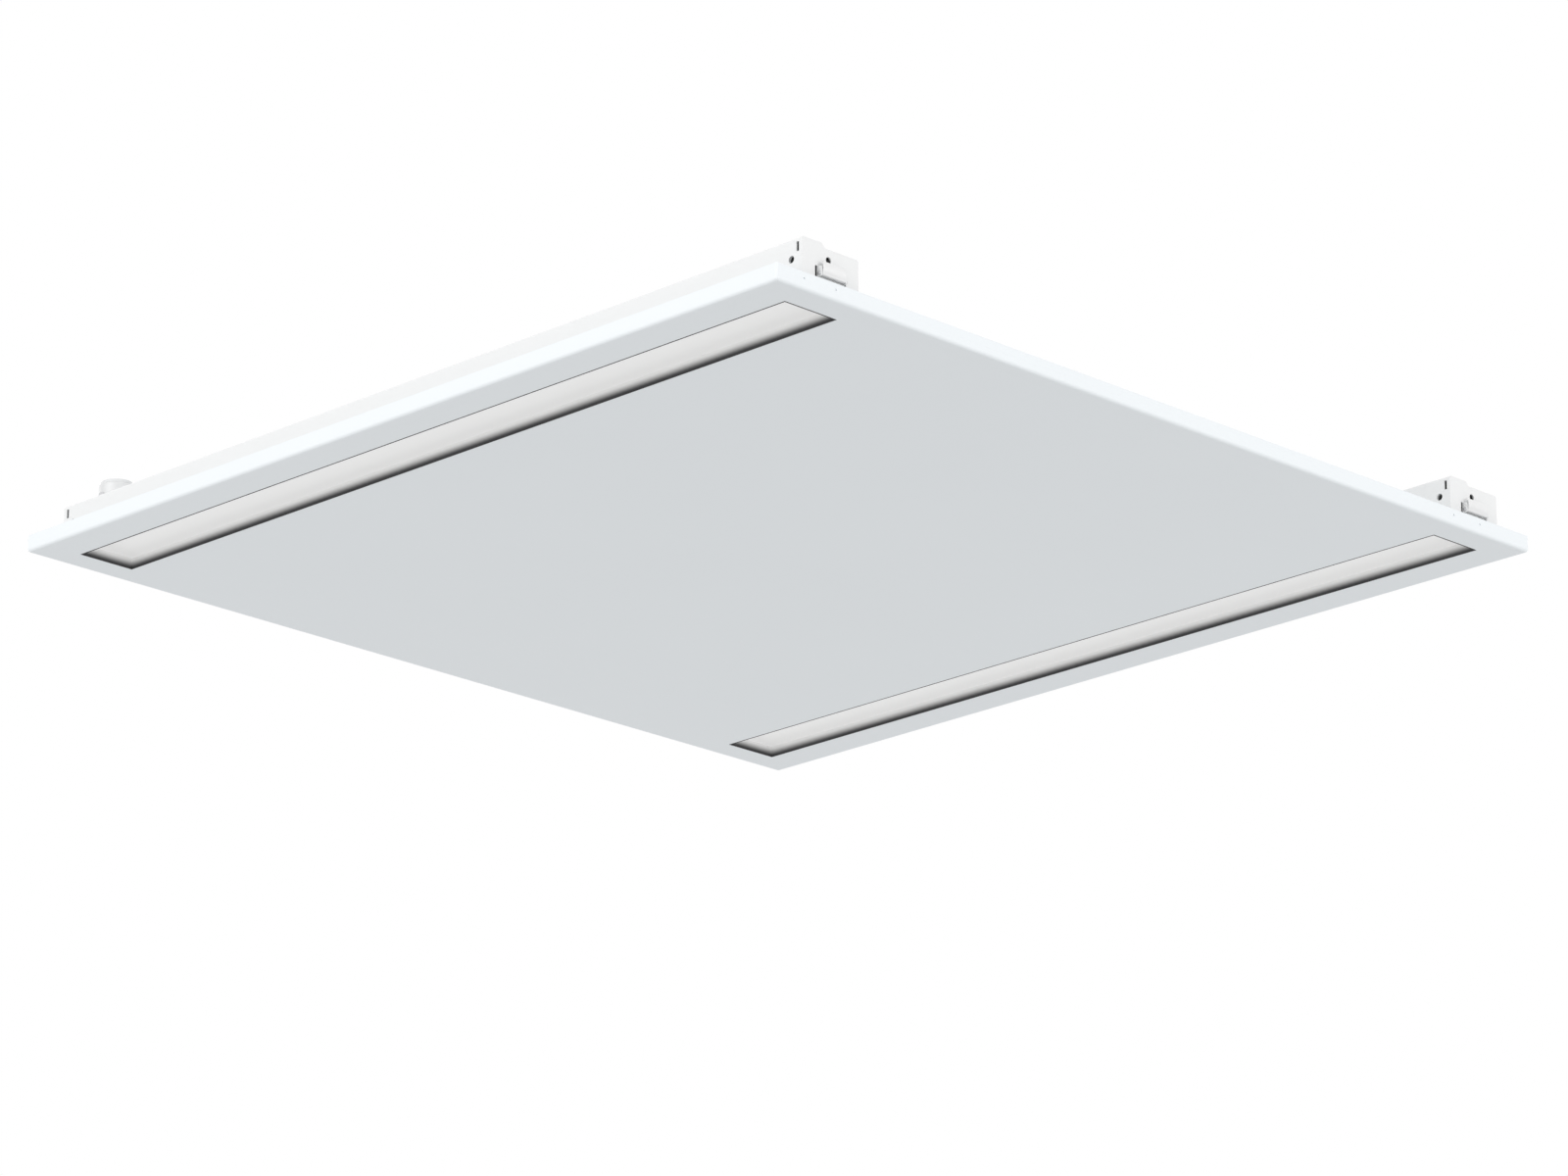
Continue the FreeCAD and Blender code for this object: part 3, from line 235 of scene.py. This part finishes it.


# slot liner: painted shade, dark at the opening's edge and fading up to the lens, faintly mottled with the
# dark

linerShadeLook = {"edge": rgb(0.050, 0.050, 0.052), "lens": rgb(0.92, 0.92, 0.915), "startUp": 0.0008,
             "endUp": 0.0062, "mottle": 0.08, "roughness": 0.85, "specular": 0.25, "grain": 1600.0}


def linerShadeMaterial():
    sockets = {"Roughness": linerShadeLook["roughness"], "Specular IOR Level": linerShadeLook["specular"]}
    material, tree, shader = newMaterial("slotLiner", sockets)
    grain = useGroup(tree, mouldGrain, Grain=linerShadeLook["grain"])
    up = addNode(tree, "ShaderNodeSeparateXYZ", {"Vector": objectPoint(tree)}).outputs["Z"]
    # painted shade: darker towards the opening, set by height alone
    shadeFade = spread(tree, up, 0.0, 1.0, linerShadeLook["startUp"], linerShadeLook["endUp"], "SMOOTHSTEP")
    shade = blendColours(tree, shadeFade, linerShadeLook["edge"], linerShadeLook["lens"])
    share = spread(tree, grain["Tone"], 0.0, linerShadeLook["mottle"])
    tree.links.new(blendColours(tree, share, shade, linerShadeLook["edge"]), shader.inputs["Base Color"])
    addBump(tree, shader, grain["Height"], bumps["plastic"])
    return material


# moulded plastics, lead jackets and the lens, which has a faint, even painted glow that lifts the recess's
# shade off it

mouldLooks = {
    "opalLens": {"light": rgb(0.470, 0.470, 0.468), "dark": rgb(0.458, 0.458, 0.456),
                 "roughness": 0.38, "grain": 900.0, "paintedGlow": 0.38, "paintedGlowTint": rgb(1.0, 1.0, 0.995)},
    "boardMask": {"light": rgb(0.860, 0.870, 0.860), "dark": rgb(0.830, 0.842, 0.830),
                  "roughness": 0.40, "grain": 1500.0},
    "terminalNylon": {"light": rgb(0.780, 0.270, 0.040), "dark": rgb(0.690, 0.225, 0.030),
                      "roughness": 0.40, "grain": 2400.0},
    "bushingNylon": {"light": rgb(0.034, 0.034, 0.036), "dark": rgb(0.022, 0.022, 0.024),
                     "roughness": 0.50, "grain": 2400.0},
    "plugNylon": {"light": rgb(0.820, 0.815, 0.770), "dark": rgb(0.780, 0.770, 0.720),
                  "roughness": 0.45, "grain": 2400.0},
    "ringNylon": {"light": rgb(0.690, 0.704, 0.712), "dark": rgb(0.640, 0.654, 0.662),
                  "roughness": 0.45, "grain": 2400.0},
    # painted shade: the near-black line round each slot's opening
    "paintedShadeLine": {"light": rgb(0.040, 0.040, 0.042), "dark": rgb(0.028, 0.028, 0.030),
                  "roughness": 0.80, "grain": 1600.0},
    "jacketBlack": {"light": rgb(0.036, 0.036, 0.038), "dark": rgb(0.022, 0.022, 0.024),
                    "roughness": 0.34, "grain": 1300.0},
    "jacketWhite": {"light": rgb(0.790, 0.785, 0.770), "dark": rgb(0.740, 0.732, 0.712),
                    "roughness": 0.36, "grain": 1300.0},
    "jacketGreen": {"light": rgb(0.028, 0.230, 0.070), "dark": rgb(0.018, 0.170, 0.048),
                    "roughness": 0.34, "grain": 1300.0},
    "jacketRed": {"light": rgb(0.470, 0.026, 0.022), "dark": rgb(0.360, 0.018, 0.016),
                  "roughness": 0.34, "grain": 1300.0},
}


def mouldMaterial(name, look):
    sockets = {"Roughness": look["roughness"]}
    # painted light: the lens's faint glow stands in for the light that the recess shades off it
    if "paintedGlow" in look:
        sockets.update({"Emission Color": look["paintedGlowTint"], "Emission Strength": look["paintedGlow"]})
    material, tree, shader = newMaterial(name, sockets)
    grain = useGroup(tree, mouldGrain, Grain=look["grain"])
    addColour(tree, shader, grain["Tone"], look)
    addBump(tree, shader, grain["Height"], bumps["plastic"])
    return material


# bare and plated metals, with their roughness between low and high

zincLook = {"light": rgb(0.700, 0.708, 0.716), "dark": rgb(0.565, 0.574, 0.584),
            "low": 0.30, "high": 0.52, "metallic": 1.0, "cells": 165.0}


def zincMaterial():
    material, tree, shader = newMaterial("zincSheet", {"Metallic": zincLook["metallic"]})
    cells = useGroup(tree, zincCells, Cells=zincLook["cells"])
    addColour(tree, shader, cells["Tone"], zincLook)
    polish = spread(tree, cells["Polish"], zincLook["low"], zincLook["high"])
    tree.links.new(polish, shader.inputs["Roughness"])
    addBump(tree, shader, cells["Height"], bumps["metal"])
    return material


metalLooks = {
    "springSteel": {"light": rgb(0.770, 0.776, 0.780), "dark": rgb(0.710, 0.716, 0.720),
                    "low": 0.42, "high": 0.54, "metallic": 0.30, "squeeze": (0.04, 1.0, 1.0)},
    "platedZinc": {"light": rgb(0.720, 0.722, 0.730), "dark": rgb(0.580, 0.585, 0.600),
                   "low": 0.22, "high": 0.38, "metallic": 1.0, "squeeze": (1.0, 1.0, 1.0)},
    "castZinc": {"light": rgb(0.690, 0.700, 0.706), "dark": rgb(0.640, 0.650, 0.656),
                 "low": 0.50, "high": 0.62, "metallic": 0.35, "squeeze": (0.5, 0.5, 0.5)},
    "groundDye": {"light": rgb(0.060, 0.420, 0.140), "dark": rgb(0.030, 0.300, 0.090),
                  "low": 0.28, "high": 0.42, "metallic": 1.0, "squeeze": (1.0, 1.0, 1.0)},
}


def metalMaterial(name, look):
    material, tree, shader = newMaterial(name, {"Metallic": look["metallic"]})
    lines = useGroup(tree, drawnLines, Squeeze=look["squeeze"])
    addColour(tree, shader, lines["Tone"], look)
    tree.links.new(spread(tree, lines["Tone"], look["low"], look["high"]), shader.inputs["Roughness"])
    addBump(tree, shader, lines["Height"], bumps["metal"])
    return material


# light emitters: a pale frame, and a speckled yellow phosphor where the emitter faces down

emitterLook = {"frame": rgb(0.800, 0.790, 0.740), "phosphor": rgb(0.780, 0.560, 0.080), "downBelow": -0.5,
               "speckle": 0.75, "roughness": 0.32, "grain": 3000.0}


def emitterMaterial():
    material, tree, shader = newMaterial("emitterPhosphor", {"Roughness": emitterLook["roughness"]})
    grain = useGroup(tree, mouldGrain, Grain=emitterLook["grain"])
    facing = addNode(tree, "ShaderNodeNewGeometry").outputs["True Normal"]
    up = addNode(tree, "ShaderNodeSeparateXYZ", {"Vector": facing}).outputs["Z"]
    window = mathNode(tree, "LESS_THAN", up, emitterLook["downBelow"])
    speckled = mathNode(tree, "MULTIPLY", window, spread(tree, grain["Height"], emitterLook["speckle"], 1.0))
    colour = blendColours(tree, speckled, emitterLook["frame"], emitterLook["phosphor"])
    tree.links.new(colour, shader.inputs["Base Color"])
    addBump(tree, shader, grain["Height"], bumps["emitter"])
    return material


finishes = {name: paintMaterial(name, look) for name, look in paintLooks.items()}
finishes.update({name: mouldMaterial(name, look) for name, look in mouldLooks.items()})
finishes.update({name: metalMaterial(name, look) for name, look in metalLooks.items()})
finishes.update(slotLiner=linerShadeMaterial(), zincSheet=zincMaterial(), emitterPhosphor=emitterMaterial())

slotFinishes = {
    "face_paint": "facePaint", "channel_paint": "channelPaint", "baffle_black": "slotLiner",
    "opal_lens": "opalLens", "reflector_white": "reflectorPaint", "board_mask": "boardMask",
    "emitter": "emitterPhosphor", "zinc_steel": "zincSheet", "spring_steel": "springSteel",
    "fastener_zinc": "platedZinc", "driver_case": "driverEnamel", "terminal_plastic": "terminalNylon",
    "bushing_black": "bushingNylon", "lead_black": "jacketBlack", "lead_white": "jacketWhite",
    "lead_green": "jacketGreen", "lead_red": "jacketRed", "ground_green": "groundDye",
    "cast_zinc": "castZinc", "plug_white": "plugNylon",
}


def dressNodes():
    # each solid takes the finish of its own material slot
    for part in frame["record"]["subparts"]:
        finish = finishes[slotFinishes[part["material_slot"]]]
        node = frame["nodes"][part["node"]]
        node.data.materials.clear()
        node.data.materials.append(finish)


dressNodes()
print("stage:", len(finishes), "finishes on the nodes")


# new pieces: each surface is worked out as whole arrays of points, in metres

meshing = {"sharpAngle": 35, "cornerSteps": 6}  # edges that bend by more degrees than this stay crisp


def gridFaces(rows, columns, wrapRows=False):
    # four-sided faces over rings of points, each ring closed on itself, and the last on the first if wrapped
    down, across = np.meshgrid(np.arange(rows if wrapRows else rows - 1), np.arange(columns), indexing="ij")
    here, below = down * columns, (down + 1) % rows * columns
    beside = (across + 1) % columns
    corners = (here + across, here + beside, below + beside, below + across)
    return np.stack(corners, axis=-1).reshape(-1, 4)


def newPiece(name, points, faces, finish, slot):
    # a mesh with its faces outwards and its bends smooth, fixed to the luminaire's body
    points = np.asarray(points, dtype=float).reshape(-1, 3)
    mesh = bpy.data.meshes.new(name)
    mesh.from_pydata(points.tolist(), [], [list(face) for face in faces])
    shape = bmesh.new()
    shape.from_mesh(mesh)
    bmesh.ops.recalc_face_normals(shape, faces=shape.faces)
    shape.to_mesh(mesh)
    shape.free()
    mesh.polygons.foreach_set("use_smooth", np.ones(len(mesh.polygons), dtype=bool))
    mesh.set_sharp_from_angle(angle=math.radians(meshing["sharpAngle"]))
    piece = bpy.data.objects.new(name, mesh)
    scene.collection.objects.link(piece)
    mesh.materials.append(finishes[finish])
    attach(piece, "luminaire")


def joined(shapes):
    # several shapes as one, each one's faces shifted past the points before it
    starts = np.cumsum([0] + [len(points) for points, _ in shapes])
    faces = []
    for start, (_, shape) in zip(starts, shapes):
        faces += [[corner + start for corner in face] for face in shape]
    return np.concatenate([points for points, _ in shapes]), faces


def roundedLoop(low, high, radius):
    # closed outline of a rectangle with quarter-circle corners: corner centre + radius (cos a, sin a)
    turn = np.linspace(0, math.pi / 2, meshing["cornerSteps"])
    quarters = np.concatenate([turn + math.pi / 2 * corner for corner in range(4)])
    left, right = low[0] + radius, high[0] - radius
    bottom, top = low[1] + radius, high[1] - radius
    centres = np.repeat([(right, top), (left, top), (left, bottom), (right, bottom)], len(turn), axis=0)
    return centres + radius * np.stack((np.cos(quarters), np.sin(quarters)), axis=1)


def loopRings(low, high, radius, profile):
    # a ring for each profile point: the rounded rectangle grown by its first number, as high as its second
    rings = [roundedLoop((low[0] - grow, low[1] - grow), (high[0] + grow, high[1] + grow), radius + grow)
             for grow, _ in profile]
    heights = np.repeat([up for _, up in profile], len(rings[0]))
    return np.column_stack((np.concatenate(rings), heights)), len(rings[0])


def capped(points, columns):
    # rings stacked from one end to the other, with a face over each end
    rows = len(points) // columns
    faces = gridFaces(rows, columns).tolist()
    return points, faces + [list(range(columns)), list(range(len(points) - columns, len(points)))]


def turnedRing(centre, profile, axis, way, segments):
    # point = centre + profile radius times (cos a, sin a) across the axis, + profile depth along it
    turn = np.linspace(0, 2 * math.pi, segments, endpoint=False)[:, None]
    across, upward = profile[None, :, 0] * np.cos(turn), profile[None, :, 0] * np.sin(turn)
    along = np.broadcast_to(way * profile[None, :, 1], across.shape)
    order = {"x": (along, across, upward), "y": (across, along, upward), "z": (across, upward, along)}[axis]
    points = np.stack(order, axis=-1).reshape(-1, 3) + np.asarray(centre)
    return points, gridFaces(segments, len(profile), wrapRows=True).tolist()


# dark lip of the slot liner, level with the face all round the opening: a painted shade line along the
# opening's edge

paintedShadeLip = {"wall": 0.0007, "down": 0.00004, "soft": 0.00018}


def makePaintedShadeLips():
    # point = corner of the opening + share of the wall inwards along the mitre, at the profile's own height
    for side in ("left", "right"):
        (x0, y0, z0), (x1, y1, _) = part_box("slot_baffle_" + side)
        profile = roundedLoop((0.0, paintedShadeLip["down"]), (paintedShadeLip["wall"], z0), paintedShadeLip["soft"])
        corners = np.array([(x0, y0), (x1, y0), (x1, y1), (x0, y1)])
        inwards = np.array([(1, 1), (-1, 1), (-1, -1), (1, -1)])
        flat = corners[:, None, :] + inwards[:, None, :] * profile[None, :, :1]
        heights = np.broadcast_to(profile[None, :, 1:], flat.shape[:2] + (1,))
        points = np.concatenate((flat, heights), axis=2)
        faces = gridFaces(len(corners), len(profile), wrapRows=True)
        # painted shade: a dark line flush with the face round each opening
        newPiece("painted_shade_lip_" + side, points, faces, "paintedShadeLine", "baffle_black")


# pressed seam round the driver's case, where its lid folds over

driverSeam = {"feet": 0.011, "corner": 0.0025, "fromTop": 0.0052, "proud": 0.00035, "tall": 0.0011,
              "steps": 12}


def makeDriverSeam():
    # ring = the case's outline grown by proud sin(a), at height middle + half the seam's height times cos(a)
    (x0, y0, _), (x1, y1, z1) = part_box("led_driver")
    low, high = (x0, y0 + driverSeam["feet"]), (x1, y1 - driverSeam["feet"])
    bend = np.linspace(0, 2 * math.pi, driverSeam["steps"], endpoint=False)
    heights = z1 - driverSeam["fromTop"] + driverSeam["tall"] / 2 * np.cos(bend)
    profile = np.stack((driverSeam["proud"] * np.sin(bend), heights), axis=1)
    points, columns = loopRings(low, high, driverSeam["corner"], profile)
    faces = gridFaces(len(profile), columns, wrapRows=True)
    newPiece("driver_lid_seam", points, faces, "driverEnamel", "driver_case")


# collars round the lead entries of the driver and the terminal block

leadCollar = {"inside": 0.00122, "rise": 0.0074, "proud": 0.0006, "sunk": 0.0002, "soft": 0.00012,
              "segments": 28}
terminalEntries = {"front": (0.0060, 0.0120), "right": (0.0055, 0.0125), "outside": 0.0020}
driverEntries = {"front": (-0.0046, -0.0015, 0.0015, 0.0046), "back": (0.0120, 0.0180), "outside": 0.0015}


def collarShape(mouth, outside, axis, way):
    # a rounded section from inside to outside and from sunk to proud, turned round the lead's own line
    low, high = (leadCollar["inside"], -leadCollar["sunk"]), (outside, leadCollar["proud"])
    profile = roundedLoop(low, high, leadCollar["soft"])
    return turnedRing(mouth, profile, axis, way, leadCollar["segments"])


def makeLeadCollars():
    # the block's entries are measured from its corner, the driver's across from the middle of the light
    (x0, y0, z0), (x1, _, _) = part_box("terminal_block")
    high, outside = z0 + leadCollar["rise"], terminalEntries["outside"]
    shapes = [collarShape((x0 + entry, y0, high), outside, "y", -1) for entry in terminalEntries["front"]]
    shapes += [collarShape((x1, y0 + entry, high), outside, "x", 1) for entry in terminalEntries["right"]]
    newPiece("terminal_entry_collars", *joined(shapes), "terminalNylon", "terminal_plastic")
    (_, front, _), (_, back, _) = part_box("led_driver")
    front, back, outside = front + driverSeam["feet"], back - driverSeam["feet"], driverEntries["outside"]
    shapes = [collarShape((x, front, high), outside, "y", -1) for x in driverEntries["front"]]
    shapes += [collarShape((x, back, high), outside, "y", 1) for x in driverEntries["back"]]
    newPiece("driver_lead_collars", *joined(shapes), "bushingNylon", "bushing_black")


# insulating ring in the cable connector's mouth, so that the sheet metal can't cut a cable

throatRing = {"inside": 0.0079, "outside": 0.0096, "sunk": 0.0008, "proud": 0.0017, "soft": 0.0007,
              "segments": 48}


def makeThroatRing():
    # the same kind of rounded section, turned round the upright line through the mouth's middle
    (x0, y0, _), (x1, y1, z1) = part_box("cable_connector")
    low, high = (throatRing["inside"], -throatRing["sunk"]), (throatRing["outside"], throatRing["proud"])
    profile = roundedLoop(low, high, throatRing["soft"])
    ring = turnedRing(((x0 + x1) / 2, (y0 + y1) / 2, z1), profile, "z", 1, throatRing["segments"])
    newPiece("connector_throat_ring", *ring, "ringNylon", "plug_white")


# release buttons on top of the terminal block, one by each entry

releaseButton = {"half": 0.0013, "start": 0.0012, "end": 0.0046, "rise": 0.0010, "soft": 0.0003,
                 "corner": 0.0005, "steps": 5}


def makeReleaseButtons():
    # side = a straight wall, then a quarter circle over the top's edge: soft (cos a - 1), crown + soft sin a
    (x0, y0, _), (x1, _, z1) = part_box("terminal_block")
    half, start, end, soft = (releaseButton[key] for key in ("half", "start", "end", "soft"))
    front, right = terminalEntries["front"], terminalEntries["right"]
    spots = [((x0 + entry - half, y0 + start), (x0 + entry + half, y0 + end)) for entry in front]
    spots += [((x1 - end, y0 + entry - half), (x1 - start, y0 + entry + half)) for entry in right]
    bend = np.linspace(0, math.pi / 2, releaseButton["steps"])
    crown = z1 + releaseButton["rise"] - soft
    rounding = np.stack((soft * (np.cos(bend) - 1), crown + soft * np.sin(bend)), axis=1)
    profile = np.concatenate(([(0.0, z1 - soft)], rounding))
    shapes = [capped(*loopRings(low, high, releaseButton["corner"], profile)) for low, high in spots]
    newPiece("terminal_release_buttons", *joined(shapes), "plugNylon", "plug_white")


# spot welds along the flanges of the cross braces, with the height of the sheet's upper side

spotWeld = {"radius": 0.0026, "rise": 0.00024, "dish": 0.7, "dishWidth": 0.42, "innermost": 0.04,
            "sheetTop": 0.0016, "flangeMiddle": 0.006, "fromEnd": 0.022, "perFlange": 9, "rings": 7,
            "segments": 18}


def weldShape(x, y):
    # height = rise (1 - p^2) (1 - dish exp(-(p / width)^2)), with p from 1 at the rim to almost 0
    share = np.linspace(1.0, spotWeld["innermost"], spotWeld["rings"])
    dished = 1 - spotWeld["dish"] * np.exp(-(share / spotWeld["dishWidth"]) ** 2)
    height = spotWeld["rise"] * (1 - share ** 2) * dished
    share, height = np.append(1.0, share), np.append(-spotWeld["rise"], height)
    turn = np.linspace(0, 2 * math.pi, spotWeld["segments"], endpoint=False)[None, :]
    reach = spotWeld["radius"] * share[:, None]
    high = np.broadcast_to(spotWeld["sheetTop"] + height[:, None], reach.shape[:1] + turn.shape[1:])
    points = np.stack((x + reach * np.cos(turn), y + reach * np.sin(turn), high), axis=-1).reshape(-1, 3)
    return capped(points, spotWeld["segments"])


def makeSpotWelds():
    # one even row along each flange of each brace
    for end in ("front", "back"):
        (x0, y0, _), (x1, y1, _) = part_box("cross_brace_" + end)
        rows = (y0 + spotWeld["flangeMiddle"], y1 - spotWeld["flangeMiddle"])
        places = np.linspace(x0 + spotWeld["fromEnd"], x1 - spotWeld["fromEnd"], spotWeld["perFlange"])
        points, faces = joined([weldShape(x, y) for y in rows for x in places])
        newPiece("spot_welds_" + end, points, faces, "zincSheet", "zinc_steel")


makePaintedShadeLips()
makeDriverSeam()
makeLeadCollars()
makeThroatRing()
makeReleaseButtons()
makeSpotWelds()
print("stage: small pieces made")


# soft studio light: the world's strength from below, level and from above, and four large lamps round the
# object, where a lamp of level 1 lights a surface that faces it as a white world would

studio = {"below": 0.72, "level": 0.96, "above": 0.86, "lowest": -0.6, "horizon": 0.1, "lampReach": 2.6,
          "lampSize": 2.2, "lampUp": 0.35, "lampTint": (1.0, 0.980, 0.962)}
lamps = {"left": (-1, 0, 0.36), "front": (0, -1, 0.30), "right": (1, 0, 0.16), "back": (0, 1, 0.16)}
white = rgb(1.0, 1.0, 1.0)


def buildWorld():
    # seen and mirrored, the world is plain white, and as light it is a little dimmer from below and above
    world = bpy.data.worlds.new("studioWorld")
    world.use_nodes = True
    tree = world.node_tree
    tree.nodes.clear()
    direction = addNode(tree, "ShaderNodeTexCoord").outputs["Generated"]
    up = addNode(tree, "ShaderNodeSeparateXYZ", {"Vector": direction}).outputs["Z"]
    horizon = studio["horizon"]
    lower = spread(tree, up, studio["below"], studio["level"], studio["lowest"], horizon, "SMOOTHSTEP")
    upper = spread(tree, up, 0.0, studio["above"] - studio["level"], horizon)
    strength = mathNode(tree, "ADD", lower, upper)
    lighting = addNode(tree, "ShaderNodeBackground", {"Color": white, "Strength": strength})
    seen = addNode(tree, "ShaderNodeBackground", {"Color": white, "Strength": 1.0})
    ray = addNode(tree, "ShaderNodeLightPath").outputs
    shows = mathNode(tree, "ADD", ray["Is Camera Ray"], ray["Is Glossy Ray"])
    shows = mathNode(tree, "ADD", shows, ray["Is Transmission Ray"])
    mixed = addNode(tree, "ShaderNodeMixShader", {0: shows, 1: lighting.outputs[0], 2: seen.outputs[0]})
    addNode(tree, "ShaderNodeOutputWorld", {"Surface": mixed.outputs[0]})
    scene.world = world


def buildLamps():
    for side, (x, y, level) in lamps.items():
        light = bpy.data.lights.new("lamp_" + side, "AREA")
        light.shape = "SQUARE"
        light.size = studio["lampSize"]
        light.color = studio["lampTint"]
        light.energy = level * (math.pi * studio["lampReach"]) ** 2
        lamp = bpy.data.objects.new("lamp_" + side, light)
        scene.collection.objects.link(lamp)
        place = Vector((x, y, 0)) * studio["lampReach"] + Vector((0, 0, studio["lampUp"]))
        lamp.location = place
        lamp.rotation_euler = (-place).to_track_quat("-Z", "Y").to_euler()
        lamp.visible_camera = False


floorPlan = {"drop": 0.001, "reach": 30.0, "colour": rgb(0.97, 0.97, 0.97), "roughness": 0.9,
             "specular": 0.0, "clouds": 3.0, "cloudDetail": 4.0}


def buildFloor():
    # a pale floor just below the face, which shows only from above and lets the light from below pass
    low, high, drop = -floorPlan["reach"], floorPlan["reach"], -floorPlan["drop"]
    mesh = bpy.data.meshes.new("studioFloor")
    corners = [(low, low, drop), (high, low, drop), (high, high, drop), (low, high, drop)]
    mesh.from_pydata(corners, [], [(0, 1, 2, 3)])
    floor = bpy.data.objects.new("studioFloor", mesh)
    scene.collection.objects.link(floor)
    sockets = {"Roughness": floorPlan["roughness"], "Specular IOR Level": floorPlan["specular"]}
    material, tree, shader = newMaterial("paleFloor", sockets)
    clouds = noise(tree, objectPoint(tree), floorPlan["clouds"], floorPlan["cloudDetail"])
    tree.links.new(blendColours(tree, clouds, floorPlan["colour"], white), shader.inputs["Base Color"])
    ray = addNode(tree, "ShaderNodeLightPath").outputs["Is Camera Ray"]
    back = addNode(tree, "ShaderNodeNewGeometry").outputs["Backfacing"]
    shows = mathNode(tree, "MULTIPLY", ray, mathNode(tree, "SUBTRACT", 1.0, back))
    clear = addNode(tree, "ShaderNodeBsdfTransparent")
    mixed = addNode(tree, "ShaderNodeMixShader", {0: shows, 1: clear.outputs[0], 2: shader.outputs[0]})
    tree.links.new(mixed.outputs[0], tree.nodes["Material Output"].inputs["Surface"])
    mesh.materials.append(material)


buildWorld()
buildLamps()
buildFloor()
print("stage: studio lit")


# the camera looks up at the face from past its front left corner, angles in degrees

photoView = {"lens": 149.70, "sensor": 36.0, "distance": 3.701964, "azimuth": 225.070862, "below": 18.8586578,
             "roll": 0.0322650, "pan": 0.0553691, "tilt": -0.3116995, "nearest": 0.05, "farthest": 100.0}


def turnedPair(first, second, angle):
    # two crossing directions turned in their own plane, the first towards the second
    cosine, sine = math.cos(angle), math.sin(angle)
    return first * cosine + second * sine, second * cosine - first * sine


def buildCamera():
    angles = ("azimuth", "below", "roll", "pan", "tilt")
    around, below, roll, pan, tilt = (math.radians(photoView[key]) for key in angles)
    out = Vector((math.cos(below) * math.cos(around), math.cos(below) * math.sin(around), -math.sin(below)))
    ahead = -out
    across = ahead.cross(Vector((0, 0, 1))).normalized()
    upward = across.cross(ahead)
    ahead, across = turnedPair(ahead, across, pan)
    ahead, upward = turnedPair(ahead, upward, tilt)
    across, upward = turnedPair(across, upward, roll)
    data = bpy.data.cameras.new("photoCamera")
    data.lens = photoView["lens"]
    data.sensor_width = photoView["sensor"]
    data.clip_start = photoView["nearest"]
    data.clip_end = photoView["farthest"]
    camera = bpy.data.objects.new("photoCamera", data)
    scene.collection.objects.link(camera)
    turn = Matrix((across, upward, -ahead)).transposed().to_4x4()
    camera.matrix_world = Matrix.Translation(out * photoView["distance"]) @ turn
    scene.camera = camera


buildCamera()
scene.view_settings.view_transform = "Standard"
print("stage: camera set")
